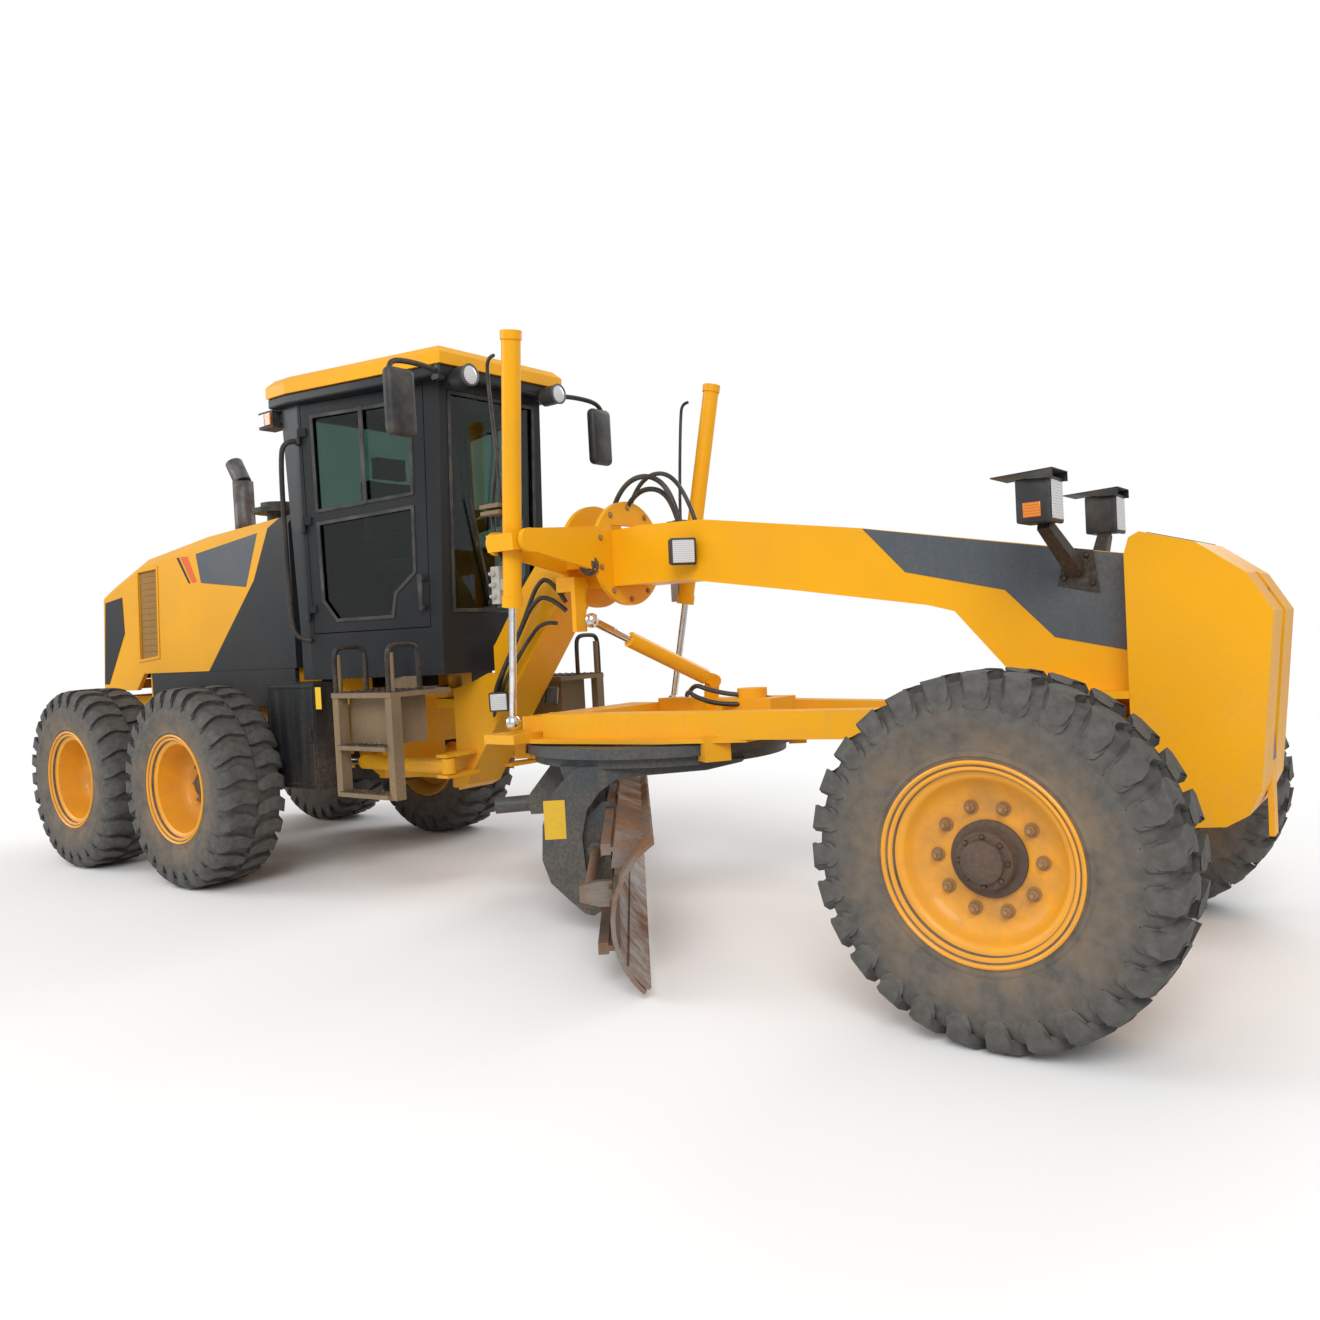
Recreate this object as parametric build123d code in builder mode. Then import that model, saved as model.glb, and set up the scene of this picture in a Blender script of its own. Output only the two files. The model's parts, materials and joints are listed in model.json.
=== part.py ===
"""Articulated motor grader, full size.

Millimetres. +X is forward, +Y is the machine's left, +Z is up. The origin is on the ground
under the middle of the machine's length and width.
"""

import os
from math import cos, radians, sin, tan

from build123d import *

os.makedirs("parts", exist_ok=True)

# Overall layout
OVERALL_LENGTH = 8690
FRONT_OVERHANG = 795
WHEELBASE = 6200
TANDEM_SPACING = 1520
TRACK = 2100
NOSE_FRONT_X = OVERALL_LENGTH / 2
REAR_END_X = -OVERALL_LENGTH / 2
FRONT_AXLE_X = NOSE_FRONT_X - FRONT_OVERHANG
TANDEM_X = FRONT_AXLE_X - WHEELBASE
RUNNING_FIT = 0.05
SEAT_GAP = 0.3
MOVING_GAP = 6
BALL_FLATS = 9

# Wheels
TYRE_RADIUS = 668
TYRE_WIDTH = 445
LUG_DEPTH = 30
LUGS = 24
RIM_SEAT_RADIUS = 318
RIM_FLANGE_RADIUS = 360
RIM_HALF_WIDTH = 205
RIM_SHEET = 18
HUB_RADIUS = 140
HUB_BORE_RADIUS = 45
FRONT_DISC_Y = 85
REAR_DISC_Y = -70
DISC_THICKNESS = 22
WHEEL_Z = TYRE_RADIUS

# Steering
KINGPIN_Y = 760
KINGPIN_RADIUS = 30
AXLE_BEAM_BOTTOM_Z = 600
AXLE_BEAM_TOP_Z = 765
AXLE_BEAM_HALF_DEPTH = 95
STEER_ROD_X = -150
STEER_ROD_Z = 500
STEER_ROD_Y = 690
STEER_ROD_RADIUS = 20
STEER_BARREL_RADIUS = 48

# Articulation
PIVOT_X = FRONT_AXLE_X - 4050
PIVOT_PIN_RADIUS = 50
PIVOT_LUG_RADIUS = 130
ARTIC_PIN_Y = 380
ARTIC_PIN_Z = 770
ARTIC_FRONT_X = FRONT_AXLE_X - 3720
ARTIC_REAR_X = FRONT_AXLE_X - 4850

# Drawbar, circle and blade
BALL_X = FRONT_AXLE_X + 180
BALL_Z = 1050
BALL_RADIUS = 62
CIRCLE_X = FRONT_AXLE_X - 2330
CIRCLE_RADIUS = 762
CIRCLE_INNER_RADIUS = 640
CIRCLE_BOTTOM_Z = 860
CIRCLE_TOP_Z = 955
DRAWBAR_BOTTOM_Z = 980
DRAWBAR_TOP_Z = 1120
BLADE_ANGLE = 39
BLADE_LENGTH = 3660
BLADE_THICKNESS = 20
BLADE_TIP_Z = 42
ARM_OFFSET = 600
ARM_THICKNESS = 70
TILT_PIVOT_N = -430
TILT_PIVOT_Z = 150

# Lift ring and lift cylinders
RING_Z = 2000
RING_RADIUS = 300
RING_FRONT_X = FRONT_AXLE_X - 2500
RING_REAR_X = FRONT_AXLE_X - 2740
BEAM_HALF_WIDTH = 150
TRUNNION_X = FRONT_AXLE_X - 2620
TRUNNION_Y = 810
TRUNNION_Z = 2050
LIFT_BALL_X = FRONT_AXLE_X - 2770
LIFT_BALL_Y = 730
LIFT_BALL_Z = 1085
LIFT_TOP_Z = 3105
LIFT_GLAND_Z = 1710
LIFT_BARREL_RADIUS = 50
LIFT_BORE_RADIUS = 38
LIFT_ROD_RADIUS = 21
LIFT_HEAD_RADIUS = 44
LIFT_ROD_LENGTH = 1560
TRUNNION_PIN_RADIUS = 22

# Cab
CAB_FLOOR_Z = 1590
CAB_TOP_Z = 3200
CAB_SKIRT_Z = 1345
CAB_WALL = 45
CAB_FRONT_BOTTOM_X = FRONT_AXLE_X - 3620
CAB_FRONT_TOP_X = FRONT_AXLE_X - 3540
CAB_REAR_BOTTOM_X = FRONT_AXLE_X - 4720
CAB_REAR_TOP_X = FRONT_AXLE_X - 4800
CAB_FRONT_HALF_WIDTH = 454
CAB_REAR_HALF_WIDTH = 705
CAB_CORNER_X = FRONT_AXLE_X - 4620
GLASS_DEPTH = 14
GLASS_THICKNESS = 8
DOOR_GAP = 6

# Engine housing
HOOD_HALF_WIDTH = 550
HOOD_SHEET = 35
HOOD_SHOULDER = 70
HOOD_INNER_Y = HOOD_HALF_WIDTH - HOOD_SHEET - 0.3
HOOD_FRONT = -5030
HOOD_FRONT_X = FRONT_AXLE_X + HOOD_FRONT
REAR_BAY_LENGTH = 2865
HOOD_BOTTOM_Z = 1425
RAIL_HALF_WIDTH = 380
RAIL_THICKNESS = 60
RAIL_BOTTOM_Z = 845
RAIL_TOP_Z = 1230


def ahead(offset):
    """X of a station given from the front axle; those behind the housing's front close up to the bumper."""
    if offset >= HOOD_FRONT:
        return FRONT_AXLE_X + offset
    return HOOD_FRONT_X + (offset - HOOD_FRONT) * (HOOD_FRONT_X - REAR_END_X) / REAR_BAY_LENGTH


def stations(points):
    """Outline whose first column is measured from the front axle."""
    return [(ahead(x), other) for x, other in points]


def plate_xz(points, y, thickness, mode=Mode.ADD):
    """Plate with an (x, z) outline, centred on the plane at y."""
    with BuildSketch(Plane(origin=(0, y, 0), x_dir=(1, 0, 0), z_dir=(0, -1, 0))) as outline:
        Polygon(*points, align=None)
    extrude(outline.sketch, amount=thickness / 2, both=True, mode=mode)


def plate_yz(points, x, thickness, mode=Mode.ADD):
    """Plate with a (y, z) outline, centred on the plane at x."""
    with BuildSketch(Plane(origin=(x, 0, 0), x_dir=(0, 1, 0), z_dir=(1, 0, 0))) as outline:
        Polygon(*points, align=None)
    extrude(outline.sketch, amount=thickness / 2, both=True, mode=mode)


def plate_xy(points, bottom, top, mode=Mode.ADD):
    """Plate with an (x, y) outline between two heights."""
    with BuildSketch(Plane.XY.offset(bottom)) as outline:
        Polygon(*points, align=None)
    extrude(outline.sketch, amount=top - bottom, mode=mode)


def block(low, high, mode=Mode.ADD):
    """Box from its lowest to its highest corner."""
    middle = [(a + b) / 2 for a, b in zip(low, high)]
    size = [b - a for a, b in zip(low, high)]
    with Locations(tuple(middle)):
        Box(*size, mode=mode)


def side_block(side, x_range, y_range, z_range, mode=Mode.ADD):
    """Box on one side of the machine; its y range is given as distances from the middle."""
    ys = sorted(side * y for y in y_range)
    block((x_range[0], ys[0], z_range[0]), (x_range[1], ys[1], z_range[1]), mode)


def bar(start, end, radius, bore=0, mode=Mode.ADD):
    """Round bar or tube between two points."""
    along = Vector(*end) - Vector(*start)
    with BuildSketch(Plane(origin=start, z_dir=along)) as section:
        Circle(radius)
        if bore:
            Circle(bore, mode=Mode.SUBTRACT)
    extrude(section.sketch, amount=along.length, mode=mode)


def ball(centre, radius, mode=Mode.ADD):
    """Turned ball: a half outline with a few flats, spun about the upright."""
    turns = [radians(-90 + 180 * i / BALL_FLATS) for i in range(BALL_FLATS + 1)]
    with BuildSketch(Plane(origin=tuple(centre), x_dir=(1, 0, 0), z_dir=(0, -1, 0))) as half:
        Polygon(*[(radius * cos(turn), radius * sin(turn)) for turn in turns], align=None)
    revolve(half.sketch, axis=Axis(origin=tuple(centre), direction=(0, 0, 1)), mode=mode)


def finish(builder, label):
    """Label a finished piece and write it."""
    builder.part.label = label
    export_step(builder.part, f"parts/{label}.step")
    print(label, round(builder.part.volume / 1e9, 5))


def between(start, end, distance):
    """Point at a distance from start, on the line to end."""
    a = Vector(*start)
    return tuple(a + (Vector(*end) - a).normalized() * distance)


# Tyre, built once at the origin: two rings of lugs, half a pitch apart, on a flat-sided carcass
LUG_PITCH = 360 / LUGS
LUG_TOP_SHARE = 0.29
LUG_FOOT_SHARE = 0.37
LUG_END_Y = 195
SHOULDER_RADIUS = 625
SIDEWALL_RADIUS = 500
BEAD_Y = RIM_HALF_WIDTH - RIM_SHEET - SEAT_GAP
LIP_RADIUS = RIM_FLANGE_RADIUS + 6


def ring_outline(radius):
    """Regular outline with one side for each lug."""
    return [(radius * cos(radians(i * LUG_PITCH)), radius * sin(radians(i * LUG_PITCH))) for i in range(LUGS)]


def lug_outline(first):
    """Toothed outline of one ring of lugs, whose flanks lean."""
    root = TYRE_RADIUS - LUG_DEPTH
    corners = (
        (root, -LUG_FOOT_SHARE), (TYRE_RADIUS, -LUG_TOP_SHARE), (TYRE_RADIUS, LUG_TOP_SHARE), (root,
            LUG_FOOT_SHARE),
    )
    turns = [(radius, radians(first + (i + share) * LUG_PITCH)) for i in range(LUGS) for radius,
        share in corners]
    return [(radius * cos(turn), radius * sin(turn)) for radius, turn in turns]


def tyre_plane(y):
    """Plane across the tyre at a distance from its middle."""
    return Plane(origin=(0, y, 0), x_dir=(1, 0, 0), z_dir=(0, -1, 0))


def frustum(start_y, start_radius, end_y, end_radius, mode=Mode.ADD):
    """Flat-sided cone between two rings."""
    with BuildSketch(tyre_plane(start_y)) as start:
        Polygon(*ring_outline(start_radius), align=None)
    with BuildSketch(tyre_plane(end_y)) as end:
        Polygon(*ring_outline(end_radius), align=None)
    loft([start.sketch.face(), end.sketch.face()], ruled=True, mode=mode)


with BuildPart() as tyre_form:
    for side, first in ((-1, -90 - LUG_TOP_SHARE * LUG_PITCH),
            (1, -90 + (0.5 - LUG_TOP_SHARE) * LUG_PITCH)):
        with BuildSketch(tyre_plane(0)) as lugs:
            Polygon(*lug_outline(first), align=None)
        extrude(lugs.sketch, amount=-side * LUG_END_Y)
        frustum(side * (LUG_END_Y - 1), SHOULDER_RADIUS + 4, side * TYRE_WIDTH / 2, SIDEWALL_RADIUS)
    dish = (SIDEWALL_RADIUS - LIP_RADIUS) / (TYRE_WIDTH / 2 - BEAD_Y)
    for side in (-1, 1):
        frustum(side * (TYRE_WIDTH / 2 + 8), SIDEWALL_RADIUS + 8 * dish, side * BEAD_Y, LIP_RADIUS,
            mode=Mode.SUBTRACT)
    with BuildSketch(tyre_plane(0)) as seat_bore:
        Polygon(*ring_outline((RIM_SEAT_RADIUS + SEAT_GAP) / cos(radians(LUG_PITCH / 2))), align=None)
    extrude(seat_bore.sketch, amount=TYRE_WIDTH, both=True, mode=Mode.SUBTRACT)

# Rims and tyres. Columns: name, axle x, side, disc offset from the tyre's centre plane
WHEELS = (
    ("front_right", FRONT_AXLE_X, -1, FRONT_DISC_Y),
    ("front_left", FRONT_AXLE_X, 1, FRONT_DISC_Y),
    ("mid_right", TANDEM_X + TANDEM_SPACING / 2, -1, REAR_DISC_Y),
    ("mid_left", TANDEM_X + TANDEM_SPACING / 2, 1, REAR_DISC_Y),
    ("rear_right", TANDEM_X - TANDEM_SPACING / 2, -1, REAR_DISC_Y),
    ("rear_left", TANDEM_X - TANDEM_SPACING / 2, 1, REAR_DISC_Y),
)

for name, axle_x, side, disc_y in WHEELS:
    wheel_plane = Plane(origin=(axle_x, side * TRACK / 2, WHEEL_Z), x_dir=(1, 0, 0), z_dir=(0, 0, side))
    axle_line = Axis(origin=(axle_x, side * TRACK / 2, WHEEL_Z), direction=(0, 1, 0))
    with BuildPart() as rim:
        with BuildSketch(wheel_plane):
            Polygon(
                (RIM_SEAT_RADIUS - RIM_SHEET, -RIM_HALF_WIDTH),
                (RIM_FLANGE_RADIUS, -RIM_HALF_WIDTH),
                (RIM_FLANGE_RADIUS, -RIM_HALF_WIDTH + RIM_SHEET),
                (RIM_SEAT_RADIUS, -RIM_HALF_WIDTH + RIM_SHEET),
                (RIM_SEAT_RADIUS, RIM_HALF_WIDTH - RIM_SHEET),
                (RIM_FLANGE_RADIUS, RIM_HALF_WIDTH - RIM_SHEET),
                (RIM_FLANGE_RADIUS, RIM_HALF_WIDTH),
                (RIM_SEAT_RADIUS - RIM_SHEET, RIM_HALF_WIDTH),
                align=None,
            )
            Polygon(
                (HUB_BORE_RADIUS + RUNNING_FIT, disc_y - 60),
                (HUB_RADIUS, disc_y - 60),
                (HUB_RADIUS, disc_y - DISC_THICKNESS),
                (RIM_SEAT_RADIUS - RIM_SHEET / 2, disc_y - DISC_THICKNESS),
                (RIM_SEAT_RADIUS - RIM_SHEET / 2, disc_y),
                (HUB_RADIUS, disc_y),
                (HUB_RADIUS - 20, disc_y + 25),
                (85, disc_y + 25),
                (78, disc_y + 75),
                (0, disc_y + 75),
                (0, disc_y + 45),
                (HUB_BORE_RADIUS + RUNNING_FIT, disc_y + 45),
                align=None,
            )
        revolve(axis=axle_line)
    finish(rim, f"rim_{name}")
    with BuildPart() as tyre:
        add(tyre_form.part.moved(Location((axle_x, side * TRACK / 2, WHEEL_Z))))
    finish(tyre, f"tyre_{name}")


# Rear frame: rails, cross members, pivot lugs, bumper
RAIL_FRONT_X = ahead(-4500)
SPINE_HALF_WIDTH = 270
PIVOT_LUGS = ((645, 705), (1180, 1240))
ENGINE_BOTTOM_Z = 1100
BUMPER_DEPTH = 90
BUMPER_HALF_WIDTH = 620
BUMPER_BOTTOM_Z = 880
BUMPER_TOP_Z = RAIL_TOP_Z + 10
TOW_PLATE_Z = 955
TOW_PLATE_THICKNESS = 30
TOW_PIN_X = REAR_END_X + BUMPER_DEPTH / 2
TOW_HOLE_RADIUS = 20
TOW_RECESS_BOTTOM_Z = 870
TOW_RECESS_TOP_Z = 1040
OUTRIGGER_REACH = 560
SIDE_BOX_X = (ahead(-5050), ahead(-4510))
SIDE_BOX_OUTER_Y = 780
SIDE_BOX_BOTTOM_Z = 640
LUG_NECK_X = PIVOT_X - 230
LUG_NECK_HALF = 150
BRACKET_INNER_Y = 298
BRACKET_OUTER_Y = ARTIC_PIN_Y + 50
with BuildPart() as rear_frame:
    for side in (-1, 1):
        plate_xz(
            [
                (RAIL_FRONT_X, RAIL_BOTTOM_Z), (RAIL_FRONT_X, RAIL_TOP_Z), (REAR_END_X + 80, RAIL_TOP_Z),
                (REAR_END_X + 80, RAIL_BOTTOM_Z + 40), (REAR_END_X + 300, RAIL_BOTTOM_Z),
            ],
            side * (RAIL_HALF_WIDTH - RAIL_THICKNESS / 2), RAIL_THICKNESS,
        )
    for x in (-5650, -6800):
        block((ahead(x) - 60, -RAIL_HALF_WIDTH + 20, 900),
            (ahead(x) + 60, RAIL_HALF_WIDTH - 20, ENGINE_BOTTOM_Z - SEAT_GAP))
    block((REAR_END_X, -BUMPER_HALF_WIDTH, BUMPER_BOTTOM_Z),
        (REAR_END_X + BUMPER_DEPTH, BUMPER_HALF_WIDTH, BUMPER_TOP_Z))
    block((REAR_END_X - 1, -90, TOW_RECESS_BOTTOM_Z),
        (REAR_END_X + BUMPER_DEPTH + 1, 90, TOW_RECESS_TOP_Z), mode=Mode.SUBTRACT)
    block((REAR_END_X, -95, TOW_PLATE_Z), (REAR_END_X + BUMPER_DEPTH, 95, TOW_PLATE_Z + TOW_PLATE_THICKNESS))
    bar((TOW_PIN_X, 0, TOW_PLATE_Z), (TOW_PIN_X, 0, TOW_PLATE_Z + TOW_PLATE_THICKNESS),
        TOW_HOLE_RADIUS, mode=Mode.SUBTRACT)
    for bottom, top in PIVOT_LUGS:
        plate_xy(
            [
                (RAIL_FRONT_X, -SPINE_HALF_WIDTH), (LUG_NECK_X, -LUG_NECK_HALF), (PIVOT_X,
                    -PIVOT_LUG_RADIUS),
                (PIVOT_X, PIVOT_LUG_RADIUS), (LUG_NECK_X, LUG_NECK_HALF), (RAIL_FRONT_X, SPINE_HALF_WIDTH),
            ],
            bottom, top,
        )
        bar((PIVOT_X, 0, bottom), (PIVOT_X, 0, top), PIVOT_LUG_RADIUS)
        bar((PIVOT_X, 0, bottom - 75), (PIVOT_X, 0, top + 75), PIVOT_PIN_RADIUS)
    block((RAIL_FRONT_X - 60, -SPINE_HALF_WIDTH, PIVOT_LUGS[0][0]),
        (RAIL_FRONT_X, SPINE_HALF_WIDTH, PIVOT_LUGS[1][1]))
    block((RAIL_FRONT_X - 60, -RAIL_HALF_WIDTH, RAIL_BOTTOM_Z),
        (RAIL_FRONT_X, RAIL_HALF_WIDTH, RAIL_TOP_Z))
    for side in (-1, 1):
        plate_xz([(RAIL_FRONT_X - 30, 645), (RAIL_FRONT_X - 30, 900), (RAIL_FRONT_X - 300, 900),
            (RAIL_FRONT_X - 250, 760)],
                 side * (SPINE_HALF_WIDTH - 20), 40)
        for z in (ARTIC_PIN_Z - 48, ARTIC_PIN_Z + 48):
            side_block(side, (ARTIC_REAR_X - 110, ARTIC_REAR_X + 60),
                (BRACKET_INNER_Y, BRACKET_OUTER_Y), (z - 10, z + 10))
        side_block(side, (ARTIC_REAR_X - 110, ARTIC_REAR_X - 75), (BRACKET_INNER_Y, BRACKET_OUTER_Y),
                   (ARTIC_PIN_Z - 58, RAIL_BOTTOM_Z + 40))
        for x, reach, top in (
            (-4550, OUTRIGGER_REACH, CAB_SKIRT_Z), (-5120, HOOD_INNER_Y, HOOD_BOTTOM_Z), (-7070,
                HOOD_INNER_Y, HOOD_BOTTOM_Z),
        ):
            side_block(side, (ahead(x) - 50, ahead(x) + 50), (330, reach),
                (RAIL_TOP_Z - 60, top - SEAT_GAP))
finish(rear_frame, "rear_frame")

with BuildPart() as side_boxes:
    for side in (-1, 1):
        side_block(side, SIDE_BOX_X, (OUTRIGGER_REACH + SEAT_GAP, SIDE_BOX_OUTER_Y),
            (SIDE_BOX_BOTTOM_Z, CAB_SKIRT_Z - 15))
finish(side_boxes, "side_boxes")

# Drive axle: centre housing, tandem cases, wheel stubs
CASE_INNER_Y = 600
CASE_OUTER_Y = 800
with BuildPart() as drive_axle:
    bar((TANDEM_X, -CASE_INNER_Y - 10, WHEEL_Z), (TANDEM_X, CASE_INNER_Y + 10, WHEEL_Z), 130)
    ball((TANDEM_X, 0, WHEEL_Z), 200)
    for side in (-1, 1):
        with BuildSketch(Plane(origin=(TANDEM_X, side * (CASE_INNER_Y + CASE_OUTER_Y) / 2, WHEEL_Z),
                               x_dir=(1, 0, 0), z_dir=(0, -1, 0))) as case:
            SlotOverall(TANDEM_SPACING + 420, 420)
        extrude(case.sketch, amount=(CASE_OUTER_Y - CASE_INNER_Y) / 2, both=True)
        for x in (-TANDEM_SPACING / 2, TANDEM_SPACING / 2):
            stub_end = TRACK / 2 + REAR_DISC_Y + 30
            bar((TANDEM_X + x, side * (CASE_OUTER_Y - 10), WHEEL_Z),
                (TANDEM_X + x, side * stub_end, WHEEL_Z), HUB_BORE_RADIUS)
        side_block(side, (TANDEM_X - 150, TANDEM_X + 150), (280, 379),
            (WHEEL_Z + 60, RAIL_BOTTOM_Z - SEAT_GAP))
finish(drive_axle, "drive_axle")

with BuildPart() as engine:
    block((ahead(-6850), -315, ENGINE_BOTTOM_Z), (ahead(-5600), 315, 2150))
finish(engine, "engine")


# Engine housing: one outline, cut along a slanted line into the dark cowl and the hood
HOOD_OUTLINE = stations([
    (-5030, 1425), (-5030, 2490), (-6170, 2440), (-7100, 2345), (-7690, 2160),
    (-7760, 2110), (-7850, 1290), (-7290, 1290), (-7150, 1425),
])
SEAM_GAP = 1
SEAM_OUTLINE = stations([(-4900, 2700), (-5130, 2700), (-5240, 2475), (-5490, 2060), (-6190, 1400),
    (-6190, 1200), (-4900, 1200)])


def housing(inset):
    """Engine housing's outer form, drawn in by an inset; its lower side stays open."""
    with BuildPart() as form:
        with BuildSketch(Plane(origin=(0, 0, 0), x_dir=(1, 0, 0), z_dir=(0, -1, 0))):
            Polygon(*HOOD_OUTLINE, align=None)
            if inset:
                offset(amount=-inset, kind=Kind.INTERSECTION)
        extrude(amount=HOOD_HALF_WIDTH - inset, both=True)
        if inset:
            block((ahead(-7850) + inset, inset - HOOD_HALF_WIDTH, 1200),
                (HOOD_FRONT_X - inset, HOOD_HALF_WIDTH - inset, 1500))
        shoulders = form.edges().filter_by(GeomType.LINE).filter_by(
            lambda e: abs(e.center().Y) > HOOD_HALF_WIDTH - inset - 1 and e.center().Z > 2150)
        chamfer(shoulders, HOOD_SHOULDER - inset / 2)
    return form.part


outer_housing = housing(0)
inner_housing = housing(HOOD_SHEET)
GRILLE_HALF_WIDTH = 434
GRILLE_HINGE_LOW = (ahead(-7866), -429, 1376)
GRILLE_HINGE_HIGH = (ahead(-7796), -429, 2054)
GRILLE_KNUCKLES = (60, 330, 600)
LEAF_LENGTH = 40
KNUCKLE_GAP = 0.5


def hinge_leaf(start, outline):
    """Knuckle and leaf at a distance up the rear door's hinge line, outline in (outward, forward)."""
    along = Vector(*GRILLE_HINGE_HIGH) - Vector(*GRILLE_HINGE_LOW)
    origin = between(GRILLE_HINGE_LOW, GRILLE_HINGE_HIGH, start)
    with BuildSketch(Plane(origin=origin, x_dir=(0, -1, 0), z_dir=along)) as leaf:
        Circle(9)
        Polygon(*outline, align=None)
    extrude(leaf.sketch, amount=LEAF_LENGTH)


VENT = stations([(-7150, 2240), (-6850, 2250), (-6900, 1560), (-7200, 1535)])
with BuildPart() as hood_cowl:
    add(outer_housing)
    add(inner_housing, mode=Mode.SUBTRACT)
    plate_xz(SEAM_OUTLINE, 0, 2 * HOOD_HALF_WIDTH + 100, mode=Mode.INTERSECT)
    for side in (-1, 1):
        side_block(side, (ahead(-7040), ahead(-5060)), (515, 545), (RAIL_TOP_Z - 70, HOOD_BOTTOM_Z - 1))
        side_block(side, (ahead(-6100), ahead(-5060)), (516, 544), (HOOD_BOTTOM_Z - 2, HOOD_BOTTOM_Z + 30))
finish(hood_cowl, "hood_cowl")

EXHAUST = (ahead(-6290), -100)
EXHAUST_RADIUS = 78
CLEANER = (ahead(-5600), -250)
CLEANER_NECK_RADIUS = 80

with BuildPart() as hood:
    add(outer_housing)
    add(inner_housing, mode=Mode.SUBTRACT)
    plate_xz([(x - (SEAM_GAP if x < HOOD_FRONT_X else 0), z) for x, z in SEAM_OUTLINE], 0,
        2 * HOOD_HALF_WIDTH + 100,
             mode=Mode.SUBTRACT)
    for side in (-1, 1):
        plate_xz(VENT, side * HOOD_HALF_WIDTH, 30, mode=Mode.SUBTRACT)
    block((ahead(-7950), -440, 1370), (ahead(-7640), 440, 2060), mode=Mode.SUBTRACT)
    bar((*EXHAUST, 2300), (*EXHAUST, 2500), EXHAUST_RADIUS + SEAT_GAP, mode=Mode.SUBTRACT)
    bar((*CLEANER, 2300), (*CLEANER, 2500), CLEANER_NECK_RADIUS + SEAT_GAP, mode=Mode.SUBTRACT)
    for start in GRILLE_KNUCKLES:
        hinge_leaf(start, [(0, -6), (38, -6), (38, 60), (13, 60), (13, 4), (0, 4)])
finish(hood, "hood")

with BuildPart() as rear_grille:
    plate_xz(stations([(-7856, 1376), (-7786, 2054), (-7746, 2054), (-7816, 1376)]), 0,
        2 * GRILLE_HALF_WIDTH)
    for start in GRILLE_KNUCKLES:
        hinge_leaf(start + LEAF_LENGTH + KNUCKLE_GAP, [(0, -2), (0, 20), (-16, 20), (-16, -2)])
finish(rear_grille, "rear_grille")

with BuildPart() as exhaust:
    bar((*EXHAUST, 2395), (*EXHAUST, 2900), EXHAUST_RADIUS)
    bar((*EXHAUST, 2895), (EXHAUST[0] - 110, EXHAUST[1], 3060), 66)
finish(exhaust, "exhaust")

with BuildPart() as air_precleaner:
    bar((*CLEANER, 2410), (*CLEANER, 2570), CLEANER_NECK_RADIUS)
    bar((*CLEANER, 2565), (*CLEANER, 2600), 172)
    bar((*CLEANER, 2598), (*CLEANER, 2640), 120)
finish(air_precleaner, "air_precleaner")


# Cab: an inset of the same block makes walls, doors and panes
def cab_plan():
    """Cab outline seen from above, run past its leaning ends."""
    slope = (CAB_REAR_HALF_WIDTH - CAB_FRONT_HALF_WIDTH) / (CAB_FRONT_BOTTOM_X - CAB_CORNER_X)
    front = CAB_FRONT_TOP_X + 50
    front_half = CAB_FRONT_HALF_WIDTH - slope * (front - CAB_FRONT_BOTTOM_X)
    rear = CAB_REAR_TOP_X - 50
    return [
        (front, -front_half), (front, front_half), (CAB_CORNER_X, CAB_REAR_HALF_WIDTH),
        (rear, CAB_REAR_HALF_WIDTH), (rear, -CAB_REAR_HALF_WIDTH), (CAB_CORNER_X, -CAB_REAR_HALF_WIDTH),
    ]


def cab_block(inset):
    """Cab's outer form, drawn in by an inset on every side."""
    with BuildPart() as form:
        with BuildSketch(Plane.XY.offset(CAB_FLOOR_Z)):
            Polygon(*cab_plan(), align=None)
            if inset:
                offset(amount=-inset, kind=Kind.INTERSECTION)
        extrude(amount=CAB_TOP_Z - CAB_FLOOR_Z)
        with BuildSketch(Plane(origin=(0, 0, 0), x_dir=(1, 0, 0), z_dir=(0, -1, 0))) as profile:
            Polygon(
                (CAB_REAR_BOTTOM_X, CAB_FLOOR_Z), (CAB_FRONT_BOTTOM_X, CAB_FLOOR_Z),
                (CAB_FRONT_TOP_X, CAB_TOP_Z), (CAB_REAR_TOP_X, CAB_TOP_Z), align=None,
            )
            if inset:
                offset(amount=-inset, kind=Kind.INTERSECTION)
        extrude(profile.sketch, amount=CAB_REAR_HALF_WIDTH + 50, both=True, mode=Mode.INTERSECT)
    return form.part


cab_outside = cab_block(0)
cab_inside = cab_block(CAB_WALL)
pane_outside = cab_block(GLASS_DEPTH)
pane_inside = cab_block(GLASS_DEPTH + GLASS_THICKNESS)

HINGE_X = ahead(-4600)
HINGE_Y = CAB_REAR_HALF_WIDTH + 13
HINGE_RADIUS = 12
HINGE_HEIGHTS = (1780, 2350, 2920)
KNUCKLE = 50
DOOR_OPENING = stations([(-3700, 1640), (-3660, 3130), (-4600, 3130), (-4590, 1640)])
DOOR_LEAF = stations([(-3706, 1646), (-3666, 3124), (-4594, 3124), (-4584, 1646)])
DOOR_UPPER_PANE = stations([(-3765, 2460), (-3750, 3050), (-4520, 3050), (-4515, 2420)])
DOOR_LOWER_PANE = stations([
    (-3770, 2400), (-4512, 2360), (-4505, 1850), (-4400, 1710), (-3960, 1710), (-3930, 1860), (-3780,
        1980),
])
FRONT_PANE = [(-370, 1720), (370, 1720), (375, 3090), (-375, 3090)]
REAR_PANE = [(-600, 2120), (600, 2120), (600, 3080), (-600, 3080)]
FRONT_X = CAB_FRONT_BOTTOM_X
REAR_X = CAB_REAR_TOP_X
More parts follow.
